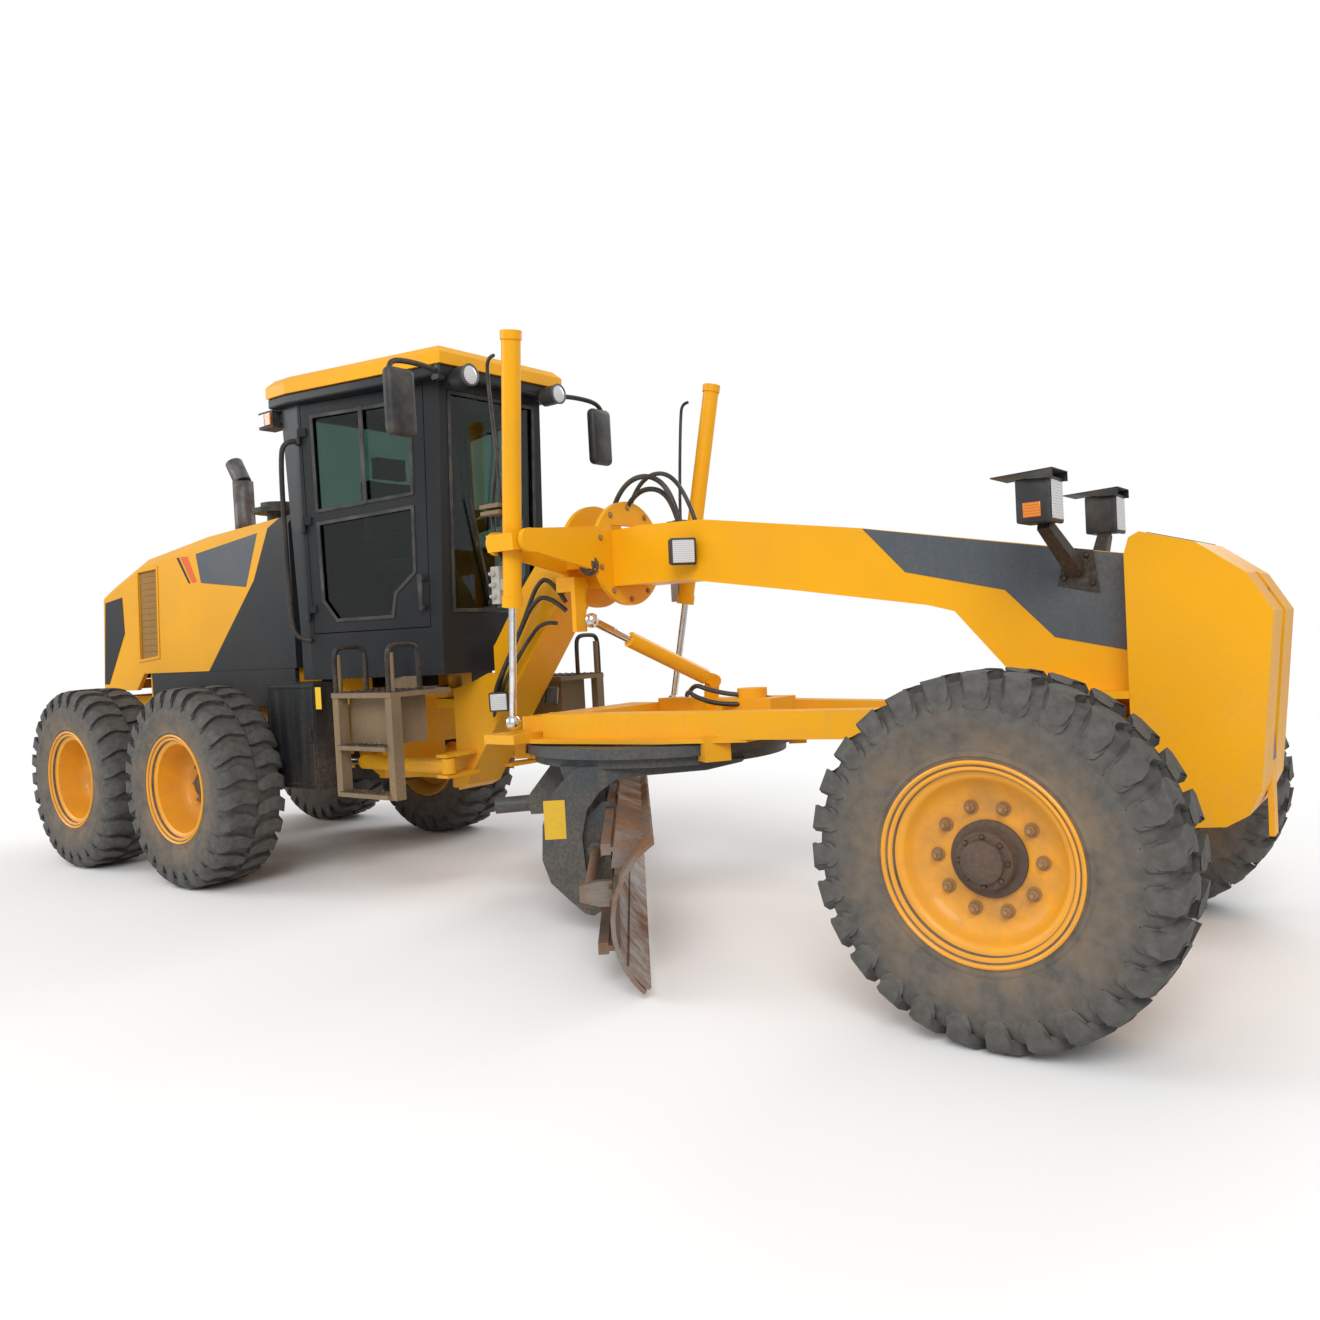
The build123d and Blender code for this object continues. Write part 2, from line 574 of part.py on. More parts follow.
with BuildPart() as cab_frame:
    add(cab_outside)
    add(cab_inside, mode=Mode.SUBTRACT)
    plate_xz(DOOR_OPENING, 0, 2000, mode=Mode.SUBTRACT)
    plate_yz(FRONT_PANE, FRONT_X, 300, mode=Mode.SUBTRACT)
    plate_yz(REAR_PANE, REAR_X, 300, mode=Mode.SUBTRACT)
    with BuildSketch(Plane.XY.offset(CAB_SKIRT_Z)) as skirt:
        Polygon(*cab_plan(), align=None)
    extrude(skirt.sketch, amount=CAB_FLOOR_Z - CAB_SKIRT_Z + 1)
    block((CAB_FRONT_BOTTOM_X, -900, CAB_SKIRT_Z - 10),
        (CAB_FRONT_BOTTOM_X + 400, 900, CAB_FLOOR_Z + 2), mode=Mode.SUBTRACT)
    block((CAB_REAR_BOTTOM_X - 400, -900, CAB_SKIRT_Z - 10), (CAB_REAR_BOTTOM_X, 900, CAB_FLOOR_Z + 2),
        mode=Mode.SUBTRACT)
    for side in (-1, 1):
        for z in HINGE_HEIGHTS:
            bar((HINGE_X, side * HINGE_Y, z - KNUCKLE), (HINGE_X, side * HINGE_Y, z - KNUCKLE_GAP),
                HINGE_RADIUS)
            plate_xy([(HINGE_X, side * (HINGE_Y - 5)), (HINGE_X, side * (HINGE_Y + 8)),
                (HINGE_X - 40, side * HINGE_Y),
                      (HINGE_X - 40, side * (HINGE_Y - 20))], z - KNUCKLE, z - KNUCKLE_GAP)
finish(cab_frame, "cab_frame")

with BuildPart() as cab_windows:
    plate_yz([(y * 0.999, z) for y, z in FRONT_PANE], FRONT_X, 300)
    plate_yz([(y * 0.999, z) for y, z in REAR_PANE], REAR_X, 300)
with BuildPart() as cab_glass:
    add(pane_outside)
    add(pane_inside, mode=Mode.SUBTRACT)
    add(cab_windows.part, mode=Mode.INTERSECT)
finish(cab_glass, "cab_glass")

for side, name in ((-1, "right"), (1, "left")):
    with BuildPart() as door:
        add(cab_outside)
        add(cab_inside, mode=Mode.SUBTRACT)
        plate_xz(DOOR_LEAF, side * 500, 900, mode=Mode.INTERSECT)
        plate_xz(DOOR_UPPER_PANE, side * 500, 900, mode=Mode.SUBTRACT)
        plate_xz(DOOR_LOWER_PANE, side * 500, 900, mode=Mode.SUBTRACT)
        for z in HINGE_HEIGHTS:
            bar((HINGE_X, side * HINGE_Y, z), (HINGE_X, side * HINGE_Y, z + KNUCKLE), HINGE_RADIUS)
            plate_xy([(HINGE_X, side * (HINGE_Y - 5)), (HINGE_X, side * (HINGE_Y + 8)),
                (HINGE_X + 50, side * (HINGE_Y - 18)),
                      (HINGE_X + 50, side * (HINGE_Y - 38))], z, z + KNUCKLE)
    finish(door, f"door_{name}")
    with BuildPart() as door_windows:
        plate_xz(DOOR_UPPER_PANE, side * 500, 900)
        plate_xz(DOOR_LOWER_PANE, side * 500, 900)
    with BuildPart() as door_glass:
        add(pane_outside)
        add(pane_inside, mode=Mode.SUBTRACT)
        add(door_windows.part, mode=Mode.INTERSECT)
    finish(door_glass, f"door_glass_{name}")

ROOF_PLAN = stations([
    (-3420, -530), (-3420, 530), (-4650, 770), (-4860, 770), (-4860, -770), (-4650, -770),
])
with BuildPart() as cab_roof:
    plate_xy(ROOF_PLAN, CAB_TOP_Z + SEAT_GAP, CAB_TOP_Z + 115)
    chamfer(cab_roof.faces().sort_by(Axis.Z)[-1].edges(), 45)
finish(cab_roof, "cab_roof")

SEAT_X = ahead(-4330)
with BuildPart() as seat:
    block((SEAT_X - 250, -250, 2020), (SEAT_X + 250, 250, 2140))
    block((SEAT_X - 330, -240, 2060), (SEAT_X - 215, 240, 2700))
    block((SEAT_X - 320, -140, 2690), (SEAT_X - 235, 140, 2860))
    block((SEAT_X - 160, -160, CAB_FLOOR_Z + CAB_WALL + SEAT_GAP), (SEAT_X + 160, 160, 2025))
finish(seat, "seat")

with BuildPart() as console:
    block((ahead(-3850), -110, CAB_FLOOR_Z + CAB_WALL + SEAT_GAP), (ahead(-3720), 110, 2150))
    bar((ahead(-3800), 0, 2120), (ahead(-3880), 0, 2300), 35)
    wheel_axis = Vector(-80, 0, 180).normalized()
    with BuildSketch(Plane(origin=(ahead(-3877), 0, 2293), z_dir=wheel_axis)) as wheel_face:
        Circle(190)
        Circle(165, mode=Mode.SUBTRACT)
        Rectangle(350, 30)
    extrude(wheel_face.sketch, amount=22)
finish(console, "console")

with BuildPart() as mirrors:
    for side in (-1, 1):
        side_block(side, (ahead(-3500), ahead(-3440)), (480, 530), (3110, CAB_TOP_Z))
        elbow = (ahead(-3440), side * 860, 3130)
        bar((ahead(-3470), side * 500, 3140), elbow, 16)
        bar(elbow, (ahead(-3400), side * 890, 2960), 16)
        side_block(side, (ahead(-3415), ahead(-3355)), (760, 970), (2740, 3110))
finish(mirrors, "mirrors")

with BuildPart() as cab_lamps:
    for side in (-1, 1):
        bar((ahead(-3445), side * 385, 3130), (ahead(-3320), side * 385, 3130), 62)
        side_block(side, (ahead(-3500), ahead(-3440)), (355, 415), (3110, CAB_TOP_Z))
        side_block(side, (ahead(-4990), ahead(-4830)), (630, 750), (3020, 3130))
        side_block(side, (ahead(-4840), ahead(-4795.3)), (650, 700), (3050, 3100))
finish(cab_lamps, "cab_lamps")

LADDER_Y = 900
LADDER_BOTTOM_Z = 645
LADDER_TOP_Z = 1250
with BuildPart() as ladders:
    for side in (-1, 1):
        for x in (-4069, -3568):
            side_block(side, (ahead(x) - 28, ahead(x) + 28), (LADDER_Y - 35, LADDER_Y + 35),
                (LADDER_BOTTOM_Z, LADDER_TOP_Z))
            bar((ahead(x), side * LADDER_Y, 1245), (ahead(x), side * LADDER_Y, 1500), 17)
        for z in (650, 930):
            side_block(side, (ahead(-4045), ahead(-3590)), (LADDER_Y - 50, LADDER_Y + 60), (z, z + 26))
        side_block(side, (ahead(-4100), ahead(-3540)), (490, 940), (1240, 1270))
        side_block(side, (ahead(-4080), ahead(-3800)), (490, 530), (1265, CAB_SKIRT_Z - SEAT_GAP))
        side_block(side, (ahead(-4060), ahead(-3640)), (600, 840), (960, 1245))
finish(ladders, "ladders")

# Front frame: gooseneck and beam
FRAME_UNDERSIDE_Z = 1165
CHEEK_Y = (250, 290)
CROSS_PLATES_X = (-150, 120)
CROSS_PLATE_THICKNESS = 30
BEAM_BOTTOM_Z = 1810
BEAM_OUTLINE = stations([
    (-2265, 2135), (-1856, 2122), (-927, 1979), (280, 1750), (280, FRAME_UNDERSIDE_Z), (-200,
        FRAME_UNDERSIDE_Z),
    (-250, 1285), (-485, 1557), (-613, 1592), (-1272, 1701), (-1975, BEAM_BOTTOM_Z), (-2830,
        BEAM_BOTTOM_Z),
    (-2910, 1770), (-3045, 1600), (-3440, 1100), (-3757, 700), (-3820, 610), (-3900, 575), (-3900, 1235),
    (-3736, 1274), (-3560, 1335), (-3500, 1335), (-3500, 1500), (-3465, 1540), (-3230, 1838), (-3046,
        2030), (-2900, 2110),
])
with BuildPart() as front_frame:
    plate_xz(BEAM_OUTLINE, 0, 2 * BEAM_HALF_WIDTH)
    for bottom, top in ((PIVOT_LUGS[0][1] + 8, PIVOT_LUGS[0][1] + 68),
            (PIVOT_LUGS[1][0] - 68, PIVOT_LUGS[1][0] - 8)):
        plate_xy(
            [(ahead(-3890), -BEAM_HALF_WIDTH), (PIVOT_X, -PIVOT_LUG_RADIUS), (PIVOT_X, PIVOT_LUG_RADIUS),
             (ahead(-3890), BEAM_HALF_WIDTH)],
            bottom, top,
        )
        bar((PIVOT_X, 0, bottom), (PIVOT_X, 0, top), PIVOT_LUG_RADIUS)
        bar((PIVOT_X, 0, bottom), (PIVOT_X, 0, top), PIVOT_PIN_RADIUS + RUNNING_FIT, mode=Mode.SUBTRACT)
    for side in (-1, 1):
        for z in (ARTIC_PIN_Z - 64, ARTIC_PIN_Z + 64):
            plate_xy([(ARTIC_FRONT_X - 130, side * 140), (ARTIC_FRONT_X - 55, side * (ARTIC_PIN_Y + 50)),
                      (ARTIC_FRONT_X + 45, side * (ARTIC_PIN_Y + 50)), (ARTIC_FRONT_X + 20,
                          side * 140)], z - 10, z + 10)
        bar((ARTIC_FRONT_X, side * ARTIC_PIN_Y, ARTIC_PIN_Z - 74),
            (ARTIC_FRONT_X, side * ARTIC_PIN_Y, ARTIC_PIN_Z + 74), 25)
        side_block(side, (ahead(-170), ahead(170)), CHEEK_Y,
            (AXLE_BEAM_TOP_Z + 15, FRAME_UNDERSIDE_Z + 30))
    block((ahead(-200), -CHEEK_Y[1], FRAME_UNDERSIDE_Z), (ahead(280), CHEEK_Y[1], FRAME_UNDERSIDE_Z + 30))
    for x in CROSS_PLATES_X:
        block((ahead(x), -CHEEK_Y[1] + 5, AXLE_BEAM_BOTTOM_Z),
            (ahead(x + CROSS_PLATE_THICKNESS), CHEEK_Y[1] - 5, 850))
    block((BALL_X - 60, -45, BALL_Z + 12), (BALL_X + 85, 45, FRAME_UNDERSIDE_Z + 10))
    ball((BALL_X, 0, BALL_Z), BALL_RADIUS + SEAT_GAP, mode=Mode.SUBTRACT)
    bar((ahead(-160), 0, 690), (ahead(160), 0, 690), 60 + RUNNING_FIT, mode=Mode.SUBTRACT)
finish(front_frame, "front_frame")

NOSE_OUTLINE = stations([
    (280.3, 780), (280.3, 1745), (300, 1810), (340, 1830), (540, 1770), (709, 1640), (795, 1490),
    (735, 820), (690, 720), (610, 670), (500, 660), (400, 690),
])
with BuildPart() as nose:
    plate_xz(NOSE_OUTLINE, 0, 2 * 285)
    block((ahead(700), -45, 600), (ahead(900), 45, 1900), mode=Mode.SUBTRACT)
    block((ahead(720), -46, 600), (ahead(740), 46, 1500))
finish(nose, "nose")

with BuildPart() as front_axle:
    block((ahead(-AXLE_BEAM_HALF_DEPTH), -KINGPIN_Y + 40, AXLE_BEAM_BOTTOM_Z),
          (ahead(AXLE_BEAM_HALF_DEPTH), KINGPIN_Y - 40, AXLE_BEAM_TOP_Z))
    for side in (-1, 1):
        eye = (FRONT_AXLE_X, side * KINGPIN_Y)
        bar((*eye, AXLE_BEAM_BOTTOM_Z), (*eye, AXLE_BEAM_TOP_Z), 68)
        bar((*eye, AXLE_BEAM_BOTTOM_Z), (*eye, AXLE_BEAM_TOP_Z), KINGPIN_RADIUS + RUNNING_FIT,
            mode=Mode.SUBTRACT)
    bar((ahead(-155), 0, 690), (ahead(155), 0, 690), 60)
    bar((ahead(STEER_ROD_X), -230, STEER_ROD_Z), (ahead(STEER_ROD_X), 230, STEER_ROD_Z),
        STEER_BARREL_RADIUS)
    block((ahead(STEER_ROD_X - 20), -150, STEER_ROD_Z), (ahead(-60), 150, AXLE_BEAM_BOTTOM_Z - 10))
    block((ahead(-90), -150, AXLE_BEAM_BOTTOM_Z - 20), (ahead(-60), 150, AXLE_BEAM_BOTTOM_Z + 20))
    bar((ahead(STEER_ROD_X), -240, STEER_ROD_Z), (ahead(STEER_ROD_X), 240, STEER_ROD_Z),
        STEER_ROD_RADIUS + RUNNING_FIT, mode=Mode.SUBTRACT)
finish(front_axle, "front_axle")

with BuildPart() as front_lamps:
    for side in (-1, 1):
        side_block(side, (ahead(20), ahead(100)), (BEAM_HALF_WIDTH + SEAT_GAP, BEAM_HALF_WIDTH + 30),
            (1660, 1750))
        bar((ahead(60), side * (BEAM_HALF_WIDTH + 29), 1700), (ahead(30), side * 430, 1900), 28)
        block((ahead(-60), min(side * 400, side * 560), 1880),
            (ahead(90), max(side * 400, side * 560), 2070))
        block((ahead(-140), min(side * 380, side * 580), 2080),
            (ahead(110), max(side * 380, side * 580), 2092))
        block((ahead(-60), side * 480 - 20, 2065), (ahead(60), side * 480 + 20, 2085))
finish(front_lamps, "front_lamps")

# Knuckles and steering rod
EAR = 35
for side, name in ((-1, "right"), (1, "left")):
    with BuildPart() as knuckle:
        x = FRONT_AXLE_X
        y = side * KINGPIN_Y
        lower = AXLE_BEAM_BOTTOM_Z - MOVING_GAP - EAR
        upper = AXLE_BEAM_TOP_Z + MOVING_GAP
        for bottom in (lower, upper):
            bar((x, y, bottom), (x, y, bottom + EAR), 70)
            block((x - 70, min(y, side * 870), bottom), (x + 70, max(y, side * 870), bottom + EAR))
        block((x - 70, min(side * 845, side * 885), lower),
            (x + 70, max(side * 845, side * 885), upper + EAR))
        bar((x, y, lower), (x, y, upper + EAR), KINGPIN_RADIUS)
        bar((x, side * 880, WHEEL_Z), (x, side * (TRACK / 2 + FRONT_DISC_Y + 30), WHEEL_Z),
            HUB_BORE_RADIUS)
        bar((x, side * 880, WHEEL_Z), (x, side * 930, WHEEL_Z), 75)
        plate_xy(
            [(x - 40, y), (ahead(STEER_ROD_X - 40), side * (STEER_ROD_Y - 10)),
                (ahead(STEER_ROD_X - 40), side * (STEER_ROD_Y + 45)),
             (x - 40, side * 850), (x, side * 850), (x, y)],
            lower, lower + EAR,
        )
        bar((ahead(STEER_ROD_X), side * STEER_ROD_Y, lower),
            (ahead(STEER_ROD_X), side * STEER_ROD_Y, lower + EAR), 42)
    finish(knuckle, f"knuckle_{name}")

with BuildPart() as steer_rod:
    bar((ahead(STEER_ROD_X), -STEER_ROD_Y, STEER_ROD_Z),
        (ahead(STEER_ROD_X), STEER_ROD_Y, STEER_ROD_Z), STEER_ROD_RADIUS)
    for side in (-1, 1):
        bar((ahead(STEER_ROD_X), side * STEER_ROD_Y, STEER_ROD_Z - 22),
            (ahead(STEER_ROD_X), side * STEER_ROD_Y, STEER_ROD_Z + 22), 38)
finish(steer_rod, "steer_rod")

# Drawbar and its ball
FORK_Y = (68, 110)
BALL_PIN_RADIUS = 26
NECK_TOP_Z = 1090
with BuildPart() as drawbar_ball:
    ball((BALL_X, 0, BALL_Z), BALL_RADIUS)
    bar((BALL_X, -FORK_Y[1], BALL_Z), (BALL_X, FORK_Y[1], BALL_Z), BALL_PIN_RADIUS)
finish(drawbar_ball, "drawbar_ball")

DRAWBAR_REAR_X = ahead(-2930)
SHIFT_LUG = (ahead(-2260), 450, 1230)
SHIFT_EYE = (ahead(-2540), -300, 1620)
SHIFT_PIN_RADIUS = 22
SHIFT_LUG_THICKNESS = 30
shift_run = Vector(*SHIFT_EYE) - Vector(*SHIFT_LUG)
eye_arm = Vector(*SHIFT_EYE) - Vector(BALL_X, 0, BALL_Z)
eye_path = Vector(eye_arm.Z, 0, -eye_arm.X)
shift_axis = eye_path.cross(shift_run).normalized()
SHOE_ANGLES = (32, 134, 226, 328)
FLANGE_BOTTOM_Z = 900
SHOE_GAP = 0.5
with BuildPart() as drawbar:
    for side in (-1, 1):
        plate_xy(
            [(BALL_X, side * FORK_Y[0]), (BALL_X, side * FORK_Y[1]), (ahead(-720), side * 240),
                (ahead(-720), side * 140),
             (ahead(50), side * FORK_Y[0])],
            DRAWBAR_BOTTOM_Z + 20, NECK_TOP_Z,
        )
        plate_xy(
            [(ahead(-380), side * 178), (ahead(-2500), side * 625), (ahead(-2650), side * 625),
                (ahead(-2710), side * 490),
             (ahead(-2500), side * 500), (ahead(-380), side * 90)],
            DRAWBAR_BOTTOM_Z, DRAWBAR_TOP_Z,
        )
        bar((BALL_X, side * FORK_Y[0], BALL_Z), (BALL_X, side * FORK_Y[1], BALL_Z), 48)
    bar((BALL_X, -FORK_Y[1] - 5, BALL_Z), (BALL_X, FORK_Y[1] + 5, BALL_Z), BALL_PIN_RADIUS + RUNNING_FIT,
        mode=Mode.SUBTRACT)
    block((ahead(-60), -85, DRAWBAR_BOTTOM_Z + 20), (ahead(60), 85, NECK_TOP_Z))
    block((ahead(-700), -180, DRAWBAR_BOTTOM_Z), (ahead(-620), 180, DRAWBAR_TOP_Z))
    block((DRAWBAR_REAR_X, -800, DRAWBAR_BOTTOM_Z - 8), (ahead(-2700), 800, 1022))
    block((DRAWBAR_REAR_X, -500, 1000), (ahead(-2700), 500, 1095))
    plate_xy(
        [(ahead(-1480), -400), (ahead(-1480), 400), (ahead(-1900), 570), (ahead(-2600), 680),
            (ahead(-2800), 680),
         (ahead(-2800), -680), (ahead(-2600), -680), (ahead(-1900), -570), ],
        DRAWBAR_BOTTOM_Z - 14, DRAWBAR_BOTTOM_Z + 10,
    )
    bar((CIRCLE_X, 0, DRAWBAR_BOTTOM_Z - 20), (CIRCLE_X, 0, DRAWBAR_BOTTOM_Z + 20), 380,
        mode=Mode.SUBTRACT)
    gear_x = CIRCLE_X + CIRCLE_INNER_RADIUS + 60
    block((gear_x - 170, -130, DRAWBAR_BOTTOM_Z), (gear_x + 130, 130, 1160))
    bar((gear_x - 60, 0, 1150), (gear_x - 60, 0, 1210), 80)
    for angle in SHOE_ANGLES:
        for radius, depth, bottom, top in ((800, 60, 872, 1000),
                (764, 66, 872, FLANGE_BOTTOM_Z - SHOE_GAP)):
            spot = (CIRCLE_X + radius * cos(radians(angle)), radius * sin(radians(angle)),
                (bottom + top) / 2)
            with Locations(Location(spot, (0, 0, angle))):
                Box(depth, 140, top - bottom)
    lug_plane = Plane(origin=SHIFT_LUG, x_dir=(-shift_axis.Y, shift_axis.X, 0), z_dir=shift_axis)
    with BuildSketch(lug_plane) as lug:
        Circle(42)
        with Locations((0, -130)):
            Rectangle(84, 260)
        Circle(SHIFT_PIN_RADIUS + RUNNING_FIT, mode=Mode.SUBTRACT)
    extrude(lug.sketch, amount=SHIFT_LUG_THICKNESS / 2, both=True)
finish(drawbar, "drawbar")

# Circle, its arms and the tilt frame. The blade plane's x is the blade's forward normal, its y is up
ALONG = Vector(sin(radians(BLADE_ANGLE)), -cos(radians(BLADE_ANGLE)), 0)
NORMAL = Vector(cos(radians(BLADE_ANGLE)), sin(radians(BLADE_ANGLE)), 0)
CIRCLE_CENTRE = Vector(CIRCLE_X, 0, 0)


def blade_point(n, t, z):
    """Point given forward of the circle's centre, along the blade, and up."""
    p = CIRCLE_CENTRE + NORMAL * n + ALONG * t
    return (p.X, p.Y, z)


def blade_plate(points, t, thickness, mode=Mode.ADD):
    """Plate across the blade with an outline in (n, z), centred at t along the blade."""
    with BuildSketch(Plane(origin=CIRCLE_CENTRE + ALONG * t, x_dir=NORMAL, z_dir=ALONG)) as outline:
        Polygon(*points, align=None)
    extrude(outline.sketch, amount=thickness / 2, both=True, mode=mode)


ARM_OUTLINE = [
    (420, 862), (400, 845), (214, 812), (-100, 802), (-250, 790), (-340, 730), (-410, 640), (-440, 500),
    (-430, 330), (-370, 210), (-353, 120), (-400, 94), (-440, 105), (-506, 165), (-612, 275), (-650, 394),
    (-640, 573), (-587, 728), (-468, 850), (-430, 862),
]
TILT_PIN_RADIUS = 28
TRUNNION_N = -720
TRUNNION_T = (80, 110)
TILT_TRUNNION_Z = 600
with BuildPart() as circle:
    with BuildSketch(Plane.XY.offset(FLANGE_BOTTOM_Z)):
        with Locations((CIRCLE_X, 0)):
            Circle(CIRCLE_RADIUS)
            Circle(CIRCLE_INNER_RADIUS, mode=Mode.SUBTRACT)
    extrude(amount=CIRCLE_TOP_Z - FLANGE_BOTTOM_Z)
    with BuildSketch(Plane.XY.offset(FLANGE_BOTTOM_Z)):
        with Locations((CIRCLE_X, 0)):
            Circle(CIRCLE_RADIUS - 45)
            Circle(CIRCLE_INNER_RADIUS, mode=Mode.SUBTRACT)
    extrude(amount=850 - FLANGE_BOTTOM_Z)
    for side in (-1, 1):
        blade_plate(ARM_OUTLINE, side * ARM_OFFSET, ARM_THICKNESS)
        bar(blade_point(TILT_PIVOT_N, side * (ARM_OFFSET - 85), TILT_PIVOT_Z),
            blade_point(TILT_PIVOT_N, side * (ARM_OFFSET - 20), TILT_PIVOT_Z), TILT_PIN_RADIUS)
    blade_plate([(-540, 862), (-400, 862), (-420, 800), (-520, 795)], 0, 2 * (ARM_OFFSET - 30))
    for side in (-1, 1):
        blade_plate([(-535, 860), (-405, 860), (-600, 640), (-680, 550), (-750, 550), (-770, 640),
            (-640, 800)],
                    side * sum(TRUNNION_T) / 2, TRUNNION_T[1] - TRUNNION_T[0])
    bar(blade_point(TRUNNION_N, -TRUNNION_T[1] - 5, TILT_TRUNNION_Z),
        blade_point(TRUNNION_N, TRUNNION_T[1] + 5, TILT_TRUNNION_Z),
        TRUNNION_PIN_RADIUS + RUNNING_FIT, mode=Mode.SUBTRACT)
finish(circle, "circle")

# Tilt frame: two side plates with jaws round the blade's rails, cross tube, side-shift barrel
PLATE_T = 540
PLATE_THICKNESS = 36
RAIL_GAP = 3
LOWER_RAIL = ((-345, -300), (160, 212))
UPPER_RAIL = ((-312, -268), (588, 636))
RAIL_NECK = 14
SHIFT_BARREL_N = -375
SHIFT_BARREL_Z = 420
SIDE_ROD_RADIUS = 25
TILT_EYE_N = -370
TILT_EYE_Z = 612
with BuildPart() as tilt_frame:
    for side in (-1, 1):
        blade_plate(
            [(-485, 120), (-455, 92), (-400, 88), (-305, 120), (-292, 250), (-305, 420), (-280, 560),
                (-262, 655),
             (-330, 665), (-440, 560), (-455, 300)],
            side * PLATE_T, PLATE_THICKNESS,
        )
    blade_plate([(-470, 250), (-455, 235), (-415, 235), (-400, 250), (-400, 340), (-470, 340)], 0,
        2 * PLATE_T)
    blade_plate([(-415, 500), (-345, 520), (-345, 575), (-415, 560)], 0, 2 * PLATE_T)
    for side in (-1, 1):
        blade_plate([(-410, 540), (-345, 540), (-325, 612), (-345, 650), (-385, 655), (-415, 630)],
            side * 52, 26)
    bar(blade_point(SHIFT_BARREL_N, -PLATE_T, SHIFT_BARREL_Z),
        blade_point(SHIFT_BARREL_N, PLATE_T + 60, SHIFT_BARREL_Z), 46)
    bar(blade_point(SHIFT_BARREL_N, -PLATE_T + 30, SHIFT_BARREL_Z),
        blade_point(SHIFT_BARREL_N, PLATE_T + 90, SHIFT_BARREL_Z),
        SIDE_ROD_RADIUS + RUNNING_FIT, mode=Mode.SUBTRACT)
    for n_range, z_range in (LOWER_RAIL, UPPER_RAIL):
        blade_plate(
            [(n_range[0] - RAIL_GAP, z_range[0] - RAIL_GAP), (n_range[1] + 80, z_range[0] - RAIL_GAP),
             (n_range[1] + 80, z_range[1] + RAIL_GAP), (n_range[0] - RAIL_GAP, z_range[1] + RAIL_GAP)],
            0, 2 * PLATE_T + 200, mode=Mode.SUBTRACT,
        )
    bar(blade_point(TILT_PIVOT_N, -PLATE_T - 60, TILT_PIVOT_Z),
        blade_point(TILT_PIVOT_N, PLATE_T + 60, TILT_PIVOT_Z),
        TILT_PIN_RADIUS + RUNNING_FIT, mode=Mode.SUBTRACT)
finish(tilt_frame, "tilt_frame")

# Blade: curved sheet, stiffening box, two rails, side-shift rod. It rests shifted towards the machine's left
BLADE_RADIUS = 395.5
BLADE_AXIS_N = 134.4
BLADE_TOP_N = -82
BLADE_BELLY_N = BLADE_AXIS_N - BLADE_RADIUS - BLADE_THICKNESS
BLADE_SHIFT = tan(radians(BLADE_ANGLE)) * (BLADE_TOP_N + BLADE_BELLY_N) / 2
BLADE_AXIS_Z = 361.9 - 82 + BLADE_TIP_Z
SIDE_ROD_START = -150
RAIL_START_T = -1300
RAIL_END_T = 1530
RAIL_LENGTH = RAIL_END_T - RAIL_START_T
RAIL_CENTRE_T = (RAIL_START_T + RAIL_END_T) / 2
with BuildPart() as blade:
    with BuildSketch(Plane(origin=CIRCLE_CENTRE + ALONG * BLADE_SHIFT, x_dir=NORMAL, z_dir=ALONG)):
        with Locations((BLADE_AXIS_N, BLADE_AXIS_Z)):
            Circle(BLADE_RADIUS + BLADE_THICKNESS)
            Circle(BLADE_RADIUS, mode=Mode.SUBTRACT)
        Polygon(
            (BLADE_AXIS_N, BLADE_AXIS_Z), (BLADE_AXIS_N - 3 * 216.4, BLADE_AXIS_Z + 3 * 331.1), (-700,
                BLADE_AXIS_Z + 900),
            (-700, BLADE_AXIS_Z - 800), (BLADE_AXIS_N - 3 * 279.4, BLADE_AXIS_Z - 3 * 279.9),
            align=None, mode=Mode.INTERSECT,
        )
    extrude(amount=BLADE_LENGTH / 2, both=True)
    blade_plate([(-272, 530), (-245, 692), (-112, 640), (-150, 600), (-200, 530)], RAIL_CENTRE_T,
        RAIL_LENGTH)
    for (n_low, n_high), (z_low, z_high), root in ((*LOWER_RAIL, -252), (*UPPER_RAIL, -250)):
        blade_plate([(n_low, z_low), (n_high, z_low), (n_high, z_high), (n_low, z_high)],
            RAIL_CENTRE_T, RAIL_LENGTH)
        blade_plate([(n_high - 5, z_low + RAIL_NECK), (root, z_low + RAIL_NECK),
            (root, z_high - RAIL_NECK),
                     (n_high - 5, z_high - RAIL_NECK)], RAIL_CENTRE_T, RAIL_LENGTH)
    lug_t = BLADE_SHIFT + BLADE_LENGTH / 2 - 200
    blade_plate([(-415, 385), (-415, 455), (-330, 470), (-270, 470), (-270, 360), (-330, 360)], lug_t, 40)
    bar(blade_point(SHIFT_BARREL_N, SIDE_ROD_START, SHIFT_BARREL_Z),
        blade_point(SHIFT_BARREL_N, lug_t, SHIFT_BARREL_Z),
        SIDE_ROD_RADIUS)
finish(blade, "blade")

